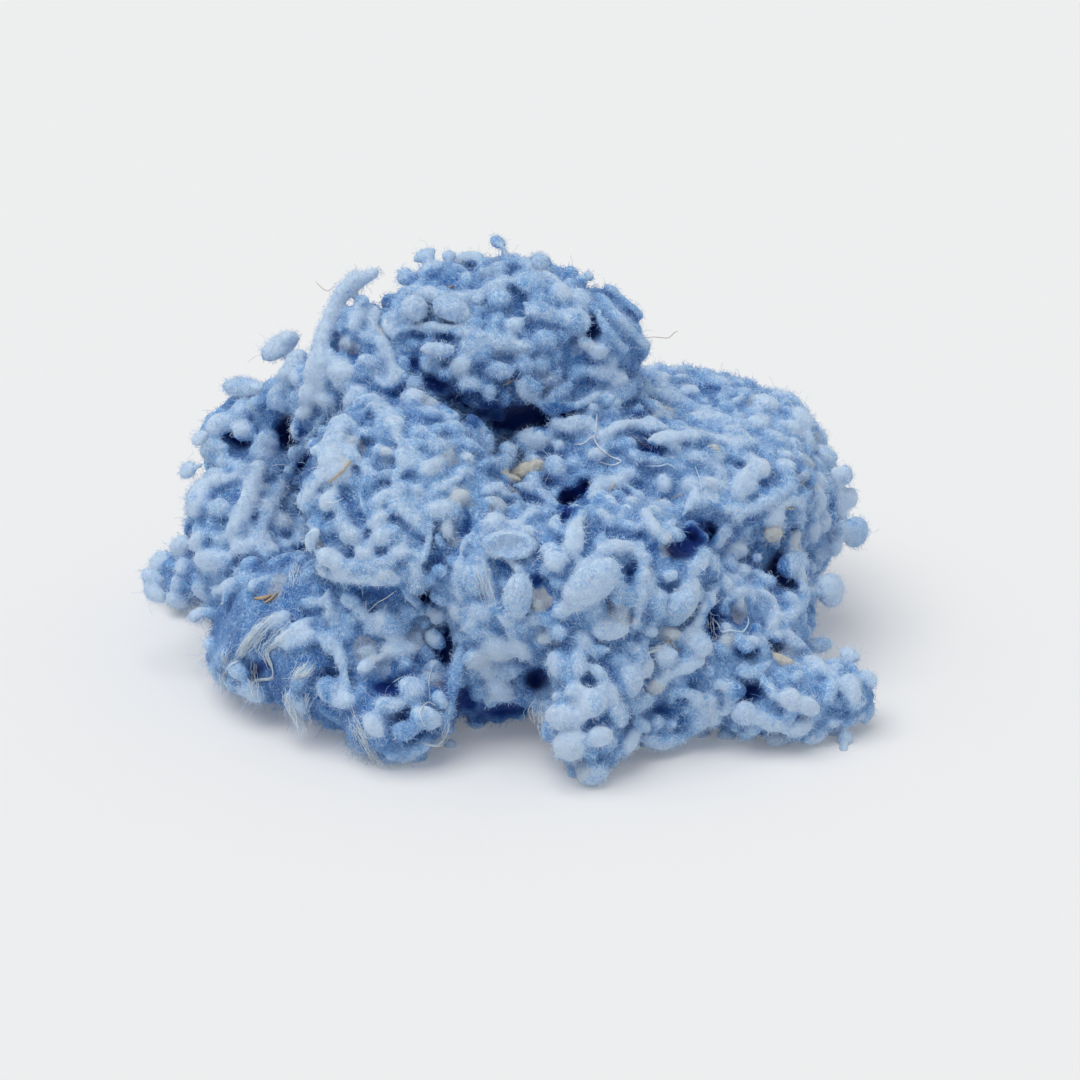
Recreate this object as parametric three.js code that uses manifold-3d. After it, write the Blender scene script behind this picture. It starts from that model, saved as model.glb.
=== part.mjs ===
// A heap of merino wool nepps: matted clumps of small felted balls, slubs and tapering locks.
// Millimetres, +Z up. The origin is on the ground under the middle of the heap.
// A clump is one closed solid: its lumpy masses, the locks that hang from it and the nepps proud of it.
// The largest nepps and slubs are solids of their own, each seated in a hollow of the clump under it.
import * as THREE from "three";
import { mergeVertices } from "three/addons/utils/BufferGeometryUtils.js";
import Module from "manifold-3d";

const wasm = await Module();
wasm.setup();

// Driving sizes
const GAP = 0.3; // air between one piece and the next
const FACET = 8; // width of a mass's facets
const LUMP = {
  perRadius: 0.9, // lumps on a mass, for each millimetre of its radius
  height: 0.16, // the tallest lump, as a share of the mass's radius
  least: 0.3, // the lowest lump, as a share of the tallest
  width: 0.4, // half width, in radians at the mass's centre
};
const PROUD_NEPP = {
  radius: { least: 1.6, more: 1.8 }, // across its length
  stretch: 1, // how much longer than wide the longest is
  out: 0.2, // how far past the mass its centre lies, in nepp radii
  sunk: { least: 0.12, most: 0.6 }, // the share of it that lies in its clump
  tries: 50, // places tried for each one wanted
};
const STRAND = { sides: 4, rings: 6, tip: 0.35 }; // tip: its width there, as a share of the lock's width
const GROUND_BLOCK = 400;

const BLUE = { color: 0x9db8dc, roughness: 1, metalness: 0 };
const CREAM = { color: 0xd2cfbf, roughness: 1, metalness: 0 };

// A mass's centre, its radii, and its turn about Z and lean about X in degrees. Its lumps come from its place.
function mass(x, y, z, rx, ry, rz, turn = 0, lean = 0) {
  const seed = Math.round(1000 * Math.abs(x + 3 * y + 7 * z));
  return { at: [x, y, z], radii: [rx, ry, rz], turn, lean, seed };
}

// A lock's width, the points it passes from root to tip, and the ball that may end it.
function lock(width, path, ball = 0) {
  return { width, path, ball };
}

const CLUMPS = [
  {
    name: "crown_clump",
    nepps: 12,
    masses: [
      mass(2, 14, 62.5, 22.5, 19.5, 17),
      mass(17.5, 14, 63.5, 13, 13, 12),
      mass(-9, 11, 67.5, 12.5, 12, 13),
    ],
    locks: [
      lock(2.2, [[1, 14, 79], [0.8, 14, 83.4]], 2.6),
      lock(3.6, [[18, 6, 72], [25, 7, 71.5], [30.5, 8, 67]]),
      lock(3.2, [[20, 3, 62], [27, 5, 64], [31.5, 6, 63]]),
      lock(3, [[24, 12, 66], [28.5, 13, 70]]),
    ],
  },
  {
    name: "left_flap",
    nepps: 9,
    masses: [mass(-18, -22, 47, 20, 20, 9.5, 0, 42), mass(-8, -22, 44, 13, 15, 9, 0, 38)],
    locks: [
      lock(3, [[-25, -11, 62], [-30, -21, 56.8], [-34, -28, 52], [-36, -33, 45], [-36.5, -40, 33]]),
      lock(2.4, [[-19, -14, 60], [-20, -21, 56.5], [-24.5, -30, 52.5], [-24, -35, 46.5]]),
    ],
  },
  {
    name: "left_upper_tuft",
    nepps: 4,
    masses: [mass(-27, 6, 60.5, 9, 10, 11.5), mass(-33, 8, 53, 9.5, 9, 11.5)],
    locks: [
      lock(4, [[-37, 1, 50], [-35, 2, 63], [-31, 4, 71], [-27.5, 6, 76.5], [-22.5, 8, 79.5]]),
      lock(2.4, [[-36, 12, 52], [-40, 16, 57.5], [-42, 18, 60.2]], 5.4),
      lock(2.6, [[-27, 6, 71], [-25.8, 6, 74.4]], 2.6),
    ],
  },
  {
    name: "centre_clump",
    nepps: 8,
    masses: [
      mass(14, -33, 31, 18.5, 16.5, 17.5),
      mass(1, -31, 34, 12.5, 12.5, 13.5),
      mass(30, -28, 33.5, 13, 13.5, 13.5),
      mass(0, -27, 12, 18, 14, 13),
      mass(14, -12, 18, 25, 14, 16),
    ],
    locks: [
      lock(3.4, [[25, -22, 47.5], [17.5, -33, 48.8], [14.8, -43, 43]]),
      lock(3, [[-2, -40, 30], [-6.3, -44.5, 20.5], [-7.6, -47, 13], [-10, -49.5, 6.5]]),
    ],
  },
  {
    name: "right_lobe",
    nepps: 12,
    masses: [
      mass(43, 22, 23.5, 29, 30, 26),
      mass(44.5, 3, 35, 20, 17.5, 15.5),
      mass(22, 2, 40, 18.5, 16.5, 13.5),
      mass(28, 26, 39, 16, 14, 13.5),
    ],
    locks: [
      lock(4.2, [[28, -4, 50], [38.6, -6, 51.5], [47.5, -7, 50.5]]),
      lock(2.8, [[39.5, -11, 45.5], [40.8, -14, 41], [46.4, -15.5, 37.5], [53.4, -12.5, 36.8], [60, -5, 38]]),
    ],
  },
  {
    name: "right_front_clump",
    nepps: 7,
    masses: [mass(39, -29, 15, 16, 15, 16.5), mass(54, -8, 14, 11.5, 16, 14.5), mass(30, -35, 6, 12, 11, 8)],
    locks: [],
  },
  {
    name: "front_foot",
    nepps: 4,
    masses: [mass(18.5, -49, 8.5, 9.5, 9, 10.5), mass(20, -45, 18, 9, 8.5, 9)],
    locks: [lock(4.4, [[14.5, -50, 25], [12.8, -54, 17], [14.3, -55, 6]])],
  },
  {
    name: "right_tail",
    nepps: 5,
    masses: [mass(67.5, -31, 7.5, 8, 8.5, 8), mass(54, -36, 7.5, 13, 9, 9.5)],
    locks: [lock(2.6, [[67, -36, 6], [66.8, -41, 1.6]]), lock(2.6, [[71, -31, 6], [73, -32, 12]])],
  },
  {
    name: "front_left_clump",
    nepps: 8,
    masses: [
      mass(-30, -17, 15, 24, 23.5, 17),
      mass(-18.5, -43, 8, 11.5, 10.5, 9.5),
      mass(-27, -33, 10, 13, 11, 12),
    ],
    locks: [
      lock(2.2, [[-40, -34, 20], [-43, -37.5, 17], [-46.5, -38.5, 11]]),
      lock(2.2, [[-35, -38, 19], [-37.3, -42.5, 15.5], [-36.8, -45.5, 7]]),
      lock(2.2, [[-50, -20, 19], [-52.5, -26, 12], [-53, -28, 6]]),
      lock(2, [[-52, -9, 10], [-57.5, -11, 6.4]], 2.6),
    ],
  },
  {
    name: "left_middle_clump",
    nepps: 5,
    masses: [mass(-50, 1, 27, 13.5, 15, 14), mass(-46, 1, 13, 12.5, 16, 13.5)],
    locks: [],
  },
  {
    name: "left_back_clump",
    nepps: 5,
    masses: [mass(-50, 32, 34, 11.5, 13, 13), mass(-42, 34, 17, 14, 15, 19), mass(-43, 25, 45, 7, 8, 9)],
    locks: [
      lock(2, [[-57, 32, 29], [-61, 33, 28.2], [-64.5, 33, 27.6]], 3.1),
      lock(2.4, [[-47, 32, 45], [-50, 32.6, 46.2], [-55, 33, 45.8]]),
    ],
  },
  {
    name: "left_tail",
    nepps: 4,
    masses: [mass(-66, 26, 6.5, 8, 9, 7), mass(-56, 23, 9, 11, 11, 10)],
    locks: [lock(2, [[-60, 20, 5], [-62.5, 16, 2.6]], 2.4)],
  },
  {
    name: "back_clump",
    nepps: 7,
    masses: [
      mass(-4, 20, 23, 34, 28, 24),
      mass(-21, 37, 19, 19, 17, 19),
      mass(9, 41, 27, 21, 16, 18),
    ],
    locks: [],
  },
];

// The nepps with a solid of their own: centre, length, height across it, thickness from front to back,
// the tilt of its length in degrees, down to the right where it is positive, and its wool.
const NEPPS = [
  { name: "nepp_crown_ball", at: [-15.2, 2.3, 74.3], long: 5.4, high: 5.4, thick: 4.8, tilt: 0, wool: BLUE },
  { name: "nepp_crown_oval", at: [-8, 1.5, 74.2], long: 8.2, high: 5.2, thick: 4.6, tilt: 22, wool: BLUE },
  { name: "nepp_crown_pip", at: [-3, 3.9, 75.6], long: 3, high: 3, thick: 3, tilt: 0, wool: BLUE },
  { name: "nepp_crown_bar", at: [-10.8, -3.5, 67.8], long: 7.2, high: 3.2, thick: 3.2, tilt: 4, wool: BLUE },
  { name: "nepp_crown_top", at: [9.1, 12.7, 80], long: 3.8, high: 3.6, thick: 3.6, tilt: 0, wool: BLUE },
  { name: "slub_cream", at: [6.4, -8.9, 44.7], long: 9, high: 3.4, thick: 3.4, tilt: -22, wool: CREAM },
  { name: "nepp_left_lens", at: [-52.3, 31.7, 46.5], long: 8, high: 3.6, thick: 5, tilt: 4, wool: BLUE },
  { name: "nepp_centre_right", at: [18.7, -47.7, 38.6], long: 13, high: 7.4, thick: 6, tilt: -40, wool: BLUE },
  { name: "nepp_centre_left", at: [5, -45.8, 35.1], long: 5.6, high: 9.6, thick: 5, tilt: 8, wool: BLUE },
  { name: "nepp_pale_right", at: [54.7, -11.1, 32.4], long: 4, high: 4, thick: 4, tilt: 0, wool: CREAM },
  { name: "nepp_granular", at: [43, -6, 47.5], long: 3.8, high: 3.2, thick: 3.2, tilt: 0, wool: CREAM },
  { name: "nepp_flap_pale", at: [-33.3, -31.2, 39.5], long: 2.4, high: 2.4, thick: 2.4, tilt: 0, wool: CREAM },
  { name: "nepp_right_ball", at: [48.1, -12, 29.6], long: 3.7, high: 3.7, thick: 3.7, tilt: 0, wool: BLUE },
  { name: "nepp_centre_far", at: [35.3, -39.9, 30.8], long: 7.2, high: 5, thick: 4.4, tilt: -32, wool: BLUE },
  { name: "slub_cream_tail", at: [54.5, -32.5, 15.3], long: 8, high: 2.8, thick: 2.8, tilt: 22, wool: CREAM },
];

// A flattened nepp with a rolled rim. Its profile runs from under its middle, round the rim and in again,
// as shares of its radius and its thickness. Its face leans from straight up towards the viewer.
const DISC = {
  name: "rolled_disc",
  at: [3.5, -40.3, 42.9],
  long: 11,
  high: 5.8,
  thick: 4,
  tilt: 4,
  lean: 68,
  steps: 14,
  profile: [
    { out: 0, up: -0.3 },
    { out: 0.7, up: -0.5 },
    { out: 1, up: 0 },
    { out: 0.8, up: 0.5 },
    { out: 0.55, up: 0.2 },
    { out: 0, up: 0.1 },
  ],
};

// A repeatable stream of numbers from 0 to 1.
function numbers(seed) {
  let state = seed >>> 0;
  return () => {
    state = (state + 0x6d2b79f5) >>> 0;
    let mixed = Math.imul(state ^ (state >>> 15), 1 | state);
    mixed = (mixed + Math.imul(mixed ^ (mixed >>> 7), 61 | mixed)) ^ mixed;
    return ((mixed ^ (mixed >>> 14)) >>> 0) / 2 ** 32;
  };
}

function direction(next) {
  const up = 2 * next() - 1;
  const round = 2 * Math.PI * next();
  const flat = Math.sqrt(1 - up * up);
  return new THREE.Vector3(flat * Math.cos(round), flat * Math.sin(round), up);
}

// A place whose axes are turned by degrees about X, then Y, then Z.
function placed(at, x, y, z) {
  const turn = new THREE.Euler(...[x, y, z].map(THREE.MathUtils.degToRad), "ZYX");
  return new THREE.Matrix4().makeRotationFromEuler(turn).setPosition(...at);
}

function solidFrom(geometry) {
  geometry.deleteAttribute("normal");
  geometry.deleteAttribute("uv");
  const merged = mergeVertices(geometry, 1e-4);
  const vertProperties = merged.attributes.position.array;
  const triVerts = new Uint32Array(merged.index.array);
  return new wasm.Manifold(new wasm.Mesh({ numProp: 3, vertProperties, triVerts }));
}

function meshFrom(name, at, solid, wool) {
  const { vertProperties, numProp, triVerts } = solid.translate(at.map((value) => -value)).getMesh();
  const geometry = new THREE.BufferGeometry();
  geometry.setAttribute("position", new THREE.BufferAttribute(vertProperties, numProp));
  geometry.setIndex(new THREE.BufferAttribute(triVerts, 1));
  geometry.computeVertexNormals();
  const mesh = new THREE.Mesh(geometry, new THREE.MeshStandardMaterial(wool));
  mesh.name = name;
  mesh.position.set(...at);
  return mesh;
}

// How far out a mass's surface lies along a unit direction, as a share of its radii.
function lumpyShare(row) {
  const next = numbers(row.seed);
  const lumps = Array.from({ length: Math.round(row.radii[0] * LUMP.perRadius) }, () => ({
    way: direction(next),
    height: LUMP.height * (LUMP.least + (1 - LUMP.least) * next()),
  }));
  return (way) =>
    lumps.reduce((share, lump) => {
      const apart = way.angleTo(lump.way) / LUMP.width;
      return share + lump.height * Math.exp(-apart * apart);
    }, 1 - LUMP.height / 2);
}

function massSolid(row, grow) {
  const radius = Math.cbrt(row.radii.reduce((product, reach) => product * reach));
  const geometry = new THREE.IcosahedronGeometry(1, Math.max(1, Math.round(radius / FACET)));
  const points = geometry.attributes.position;
  const share = lumpyShare(row);
  const way = new THREE.Vector3();
  for (let i = 0; i < points.count; i++) {
    way.fromBufferAttribute(points, i).normalize();
    const [x, y, z] = row.radii.map((reach) => reach * share(way) + grow);
    points.setXYZ(i, way.x * x, way.y * y, way.z * z);
  }
  return solidFrom(geometry.applyMatrix4(placed(row.at, row.lean, 0, row.turn)));
}

// A strand that tapers from its root to its tip, closed at both ends.
function strandSolid(row, grow) {
  const curve = new THREE.CatmullRomCurve3(row.path.map((point) => new THREE.Vector3(...point)));
  const frames = curve.computeFrenetFrames(STRAND.rings);
  const positions = [];
  const faces = [];
  for (let ring = 0; ring <= STRAND.rings; ring++) {
    const along = ring / STRAND.rings;
    const centre = curve.getPointAt(along);
    const radius = (row.width / 2) * (1 - (1 - STRAND.tip) * along ** 2) + grow;
    for (let side = 0; side < STRAND.sides; side++) {
      const angle = (2 * Math.PI * side) / STRAND.sides;
      const across = frames.normals[ring].clone().multiplyScalar(radius * Math.cos(angle));
      across.addScaledVector(frames.binormals[ring], radius * Math.sin(angle));
      positions.push(...centre.clone().add(across).toArray());
      if (ring === STRAND.rings) continue;
      const here = ring * STRAND.sides + side;
      const beside = ring * STRAND.sides + ((side + 1) % STRAND.sides);
      faces.push(here, beside, beside + STRAND.sides, here, beside + STRAND.sides, here + STRAND.sides);
    }
  }
  const end = STRAND.rings * STRAND.sides;
  faces.push(0, 2, 1, 0, 3, 2, end, end + 1, end + 2, end, end + 2, end + 3);
  const geometry = new THREE.BufferGeometry();
  geometry.setAttribute("position", new THREE.Float32BufferAttribute(positions, 3));
  geometry.setIndex(faces);
  return solidFrom(geometry);
}

function lockSolids(row, grow) {
  const strand = strandSolid(row, grow);
  if (!row.ball) return [strand];
  const ball = new THREE.OctahedronGeometry(row.ball / 2 + grow, 1).translate(...row.path.at(-1));
  return [strand, solidFrom(ball)];
}

function clumpSolid(clump, grow) {
  const masses = clump.masses.map((row) => massSolid(row, grow));
  const locks = clump.locks.flatMap((row) => lockSolids(row, grow));
  return wasm.Manifold.union([...masses, ...locks]);
}

function neppSolid(row, grow) {
  const geometry = new THREE.IcosahedronGeometry(1, 1);
  geometry.scale(row.long / 2 + grow, row.thick / 2 + grow, row.high / 2 + grow);
  return solidFrom(geometry.applyMatrix4(placed(row.at, 0, row.tilt, 0)));
}

function discSolid(row, grow) {
  const thick = row.thick + 2 * grow;
  const profile = row.profile.map(({ out, up }) => new THREE.Vector2(out, up * thick));
  const geometry = new THREE.LatheGeometry(profile, row.steps).rotateX(Math.PI / 2);
  geometry.scale(row.long / 2 + grow, row.high / 2 + grow, 1);
  return solidFrom(geometry.applyMatrix4(placed(row.at, row.lean, row.tilt, 0)));
}

function biggest(solid) {
  return solid.decompose().sort((a, b) => b.volume() - a.volume())[0];
}

// One nepp at a chance place on a mass, without and with air around it.
function proudNepp(row, next) {
  const way = direction(next);
  const radius = PROUD_NEPP.radius.least + PROUD_NEPP.radius.more * next() * next();
  const long = radius * (1 + PROUD_NEPP.stretch * next() * next());
  const out = lumpyShare(row)(way);
  const at = way.clone().multiply(new THREE.Vector3(...row.radii)).multiplyScalar(out);
  at.addScaledVector(way, PROUD_NEPP.out * radius).applyMatrix4(placed(row.at, row.lean, 0, row.turn));
  const place = placed(at, 360 * next(), 360 * next(), 360 * next());
  const [solid, wide] = [0, GAP].map((grow) => {
    const geometry = new THREE.IcosahedronGeometry(1, 0);
    return solidFrom(geometry.scale(long + grow, radius + grow, radius + grow).applyMatrix4(place));
  });
  return { at, radius, long, solid, wide };
}

// The nepps proud of a clump where it is bare: apart from each other, from the ground and from all else.
function proudNepps(clump, bare, others) {
  const next = numbers(clump.masses[0].seed + 1);
  const found = [];
  for (let tries = 0; tries < PROUD_NEPP.tries * clump.nepps && found.length < clump.nepps; tries++) {
    const row = clump.masses[Math.floor(next() * clump.masses.length)];
    const nepp = proudNepp(row, next);
    const sunk = nepp.solid.intersect(bare).volume() / nepp.solid.volume();
    const seated = sunk > PROUD_NEPP.sunk.least && sunk < PROUD_NEPP.sunk.most && nepp.at.z > nepp.long;
    const alone = found.every((other) => other.at.distanceTo(nepp.at) > other.radius + nepp.radius);
    if (seated && alone && others.every((other) => nepp.wide.intersect(other).isEmpty())) found.push(nepp);
  }
  return found;
}

function buildHeap() {
  const heap = new THREE.Group();
  const block = new THREE.BoxGeometry(GROUND_BLOCK, GROUND_BLOCK, GROUND_BLOCK);
  const ground = solidFrom(block.translate(0, 0, -GROUND_BLOCK / 2));
  const hollows = [...NEPPS.map((row) => neppSolid(row, GAP)), discSolid(DISC, GAP)];
  const before = [];
  const bare = CLUMPS.map((clump) => {
    const cuts = [ground, ...hollows, ...before];
    before.push(clumpSolid(clump, GAP));
    return biggest(cuts.reduce((solid, cut) => solid.subtract(cut), clumpSolid(clump, 0)));
  });

  const taken = [...hollows];
  CLUMPS.forEach((clump, index) => {
    const others = [...bare.filter((solid) => solid !== bare[index]), ...taken];
    const nepps = proudNepps(clump, bare[index], others);
    taken.push(...nepps.map((nepp) => nepp.wide));
    const whole = wasm.Manifold.union([bare[index], ...nepps.map((nepp) => nepp.solid)]);
    heap.add(meshFrom(clump.name, clump.masses[0].at, whole, BLUE));
  });
  NEPPS.forEach((row) => heap.add(meshFrom(row.name, row.at, neppSolid(row, 0), row.wool)));
  heap.add(meshFrom(DISC.name, DISC.at, discSolid(DISC, 0), BLUE));
  return heap;
}

// Moves the pieces, without turning or lifting them, so that the middle of their box is over the origin.
function centred(heap) {
  const middle = new THREE.Box3().setFromObject(heap, true).getCenter(new THREE.Vector3()).setZ(0);
  heap.children.forEach((mesh) => mesh.position.sub(middle));
  return heap;
}

export default centred(buildHeap());
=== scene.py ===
import math
import random

import bmesh
import bpy
import numpy as np
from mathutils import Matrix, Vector, noise
from mathutils.bvhtree import BVHTree
from mathutils.kdtree import KDTree


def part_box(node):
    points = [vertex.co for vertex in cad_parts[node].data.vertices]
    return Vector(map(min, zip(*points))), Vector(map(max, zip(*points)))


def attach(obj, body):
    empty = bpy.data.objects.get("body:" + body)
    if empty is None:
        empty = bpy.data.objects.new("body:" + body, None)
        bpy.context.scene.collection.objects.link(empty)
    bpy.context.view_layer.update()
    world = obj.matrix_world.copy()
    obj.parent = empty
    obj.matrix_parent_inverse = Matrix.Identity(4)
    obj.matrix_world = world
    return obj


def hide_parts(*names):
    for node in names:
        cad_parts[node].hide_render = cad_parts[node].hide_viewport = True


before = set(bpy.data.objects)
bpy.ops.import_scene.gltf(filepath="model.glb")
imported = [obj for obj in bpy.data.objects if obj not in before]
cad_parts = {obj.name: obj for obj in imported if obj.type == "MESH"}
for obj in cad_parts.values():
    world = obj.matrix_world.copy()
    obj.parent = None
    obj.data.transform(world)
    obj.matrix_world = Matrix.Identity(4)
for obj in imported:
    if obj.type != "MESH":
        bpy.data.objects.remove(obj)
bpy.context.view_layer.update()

# A heap of combed wool, rolled into nepps: thirteen clumps, sixteen single nepps,
# and the loose threads, hairs and straw that wool carries. Lengths are in metres.
MM = 0.001
TINY = 1e-12
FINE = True
SEEDS = {
    "noise": 11, "seen nepps": 21, "strewn nepps": 8, "draped locks": 4, "wisps": 31,
    "spin": 11, "pick": 7, "sink": 13, "wander": 3, "length": 5, "tone": 17,
}
# Without a seed of its own, the noise would differ from run to run.
noise.seed_set(SEEDS["noise"])

# The photograph is square, and its pixels place the nepps that it shows.
HALF_PHOTO = 1080 / 2
TARGET = Vector((8.01, -0.593, 26.0)) * MM
DISTANCE = 612 * MM
ELEVATION = math.radians(24)
FIELD = math.radians(20)
LOOK = Vector((0, math.cos(ELEVATION), -math.sin(ELEVATION)))
RIGHT = Vector((1, 0, 0))
UP = RIGHT.cross(LOOK)
EYE = TARGET - LOOK * DISTANCE
PIXELS_DEEP = HALF_PHOTO / math.tan(FIELD / 2)
PIXEL = DISTANCE / PIXELS_DEEP

CLUMPS = (
    "crown_clump", "left_flap", "left_upper_tuft", "centre_clump", "right_lobe",
    "right_front_clump", "front_foot", "right_tail", "front_left_clump",
    "left_middle_clump", "left_back_clump", "left_tail", "back_clump",
)
SINGLE_NEPPS = tuple(sorted(set(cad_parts) - set(CLUMPS)))
# Undyed nepps, and how undyed each is.
CREAM_NEPPS = {
    "slub_cream": 1.0, "slub_cream_tail": 1.0, "nepp_flap_pale": 0.9,
    "nepp_granular": 0.8, "nepp_pale_right": 0.75,
}

# Felt: one skin closes over the grooves between the clumps. The matted wool lies a
# little under it, lumpy, and goes down into the hollows.
BASE_VOXEL = 1.2 * MM
JOIN_DISTANCE = 0.001 * MM
SKIN_STEP = 1.1 * MM
CLOSING_STEPS = 4
SKIN_INSET_STEPS = 1
SKIN_ROUNDS = 2
MAT_INSET = 0.7 * MM
MAT_LUMPS = ((120, 1.4 * MM), (330, 0.9 * MM))
CLUMP_REACH_STEPS = 4
# A core fills the heap, so that no light comes through between the clumps.
CORE_CLUMPS = ("crown_clump", "centre_clump", "back_clump")
CORE_INSET_STEPS = 3
CORE_REACH_STEPS = 9

# Each clump's mat, nepps and locks are fused to one wool with small unevenness,
# coarser at the back. Unevenness is in millimetres: broad, then fine.
WOOL_VOXEL = (0.58 if FINE else 0.8) * MM
BACK_VOXEL = (0.7 if FINE else 0.9) * MM
BACK_CLUMPS = ("back_clump", "left_back_clump")
WOOL_ROUNDS = 1
CLUMP_FELT = (0.16, 0.09)
NEPP_VOXEL = (0.22 if FINE else 0.45) * MM
NEPP_ROUNDS = 26 if FINE else 6
NEPP_FELT = (0.34, 0.16)
FELT_WAVES = (600, 1600)
FELT_SHIFT = (3.1, 1.7, 5.3)
DISC_CLOSING = 1.1 * MM
# Inside the heap, out of sight, this share of the wool's faces is left.
HIDDEN_DEPTH = 2.8 * MM
HIDDEN_SHARE = 0.06

# A nepp's shape where the photograph shows one: how thick it is for its width, how far
# its middle stands out, and its taper. On a slope it is turned and stretched a little.
BALL_ROUNDS = 3
NEPP_THICKNESS = 0.85
NEPP_STANDING = 0.3
NEPP_TAPER = 0.12
LEAST_FACING = 0.35
EDGE_LEAN = 0.8
MOST_STRETCH = 1.5
MOST_WIDENING = 1.35

# Locks swell and thin at random. A lock or thread doesn't span a step in depth that is
# larger than this leap, and no part of one is shorter than four points.
LOCK_LIFT = 0.5 * MM
LOCK_SIDES = 10
LOCK_STEP = 4.0
LOCK_SWELLS = ((330, 0.55), (900, 0.3))
LEAST_END = 0.02
LEAP = 3.5 * MM
LEAST_POINTS = 4
FEWEST_SPOTS = 6
EVEN_ROUNDS = 6
NEAREST_ROUNDS = 8

# Nepps strewn over the skin between those that the photograph shows, and the shapes
# that they are picked from: length, width, height, bend and taper.
LARGE_NEPPS = {
    "Spacing": 6.5 * MM,
    "Smallest": 1.5 * MM,
    "Largest": 2.4 * MM,
    "Sunk": 0.28,
    "Clear of seen nepps": 0.8 * MM,
    "Seed": 5,
}
SMALL_NEPPS = {
    "Spacing": 3.1 * MM,
    "Smallest": 1.0 * MM,
    "Largest": 1.7 * MM,
    "Sunk": 0.28,
    "Clear of seen nepps": 0.3 * MM,
    "Seed": 9,
}
NEPP_SHAPES = {
    "ball": (1.0, 1.0, 0.92, 0.0, 0.05),
    "ball_b": (1.12, 1.0, 0.92, 0.0, 0.1),
    "ball_c": (1.2, 0.95, 0.95, 0.05, 0.1),
    "oval": (1.4, 0.95, 0.88, 0.1, 0.12),
    "bean": (1.7, 0.85, 0.8, 0.4, 0.05),
    "drop": (1.5, 0.9, 0.85, 0.0, 0.3),
}
STREWN_BALL_ROUNDS = 2
STREWN_DENSITY = 3e5
HIGH_AND_LOW = (0.4, -2.4)
STREWN_FROM = 0.8 * MM
STREWN_REACH = 4 * MM
HOLLOW_LEFT_BARE = 0.15
FLUFF_LEFT_BARE = 0.25
STRAY_CREAM = (0.03, 0.35)

# Locks that drape over the skin, mostly downwards.
DRAPED_LOCKS = 360
DRAPE_STEP = 1.3 * MM
DRAPE_LENGTH = (7 * MM, 22 * MM)
DRAPE_WIDTH = (0.8 * MM, 1.7 * MM)
DRAPE_THICKNESS = (0.5, 0.75)
DRAPE_SIDES = 8
DRAPE_CLEAR = 1.0 * MM
DRAPE_FROM = 4 * MM
DRAPE_END = 1.2 * MM
DRAPE_SPREAD = 0.7
DRAPE_PULL = Vector((0, 0, -0.15))
DRAPE_TURNS = (170, 0.75)
DRAPE_RISES = (200, 2.2)
DRAPE_SINK = 0.25
DRAPE_HOLLOW = 0.3
ASIDE = Vector((7.7, 3.1, 5.9))

# Fibres that stand on the wool, and where: short down makes it soft, curls are fewer
# and longer, and fluff lies where the photograph shows it loose.
FUZZ = {
    "fuzz": {
        "Fibres per square metre": 3.6e6,
        "Shortest": 0.5 * MM,
        "Longest": 1.4 * MM,
        "Stand": 0.45,
        "Droop": 0.15,
        "Where": "airy",
    },
    "fibres": {
        "Fibres per square metre": 1.6e5,
        "Shortest": 1.5 * MM,
        "Longest": 3.4 * MM,
        "Stand": 0.22,
        "Droop": 0.3,
        "Where": "airy",
    },
    "fluff": {
        "Fibres per square metre": 9e5,
        "Shortest": 2.5 * MM,
        "Longest": 5.0 * MM,
        "Stand": 0.05,
        "Droop": 0.9,
        "Where": "fluffy",
    },
}
# The shapes they are picked from: how many, bends, thickness, wander and first seed.
FIBRE_SHAPES = {
    "fuzz": (6, 1, 0.042, 0.25, 0),
    "fibres": (8, 3, 0.013, 0.2, 20),
    "fluff": (8, 4, 0.007, 0.2, 40),
}
FIBRE_SIDES = 3
FIBRE_ROOT = 0.06
FIBRE_LIFT = 0.2 * MM
CLUMP_FUZZ_SEEDS = {"fuzz": 50, "fibres": 80, "fluff": 100}
NEPP_FELT_SEED = 30
NEPP_FUZZ_SEED = 120

# Where the photograph shows loose fluff: x, y, half width, half height.
FLUFFY = (
    (240, 640, 50, 42), (290, 690, 52, 48), (352, 735, 45, 45), (262, 606, 42, 22),
    (205, 600, 30, 16),
)
FLUFFY_CLUMPS = ("front_left_clump", "left_middle_clump", "left_tail")

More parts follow.
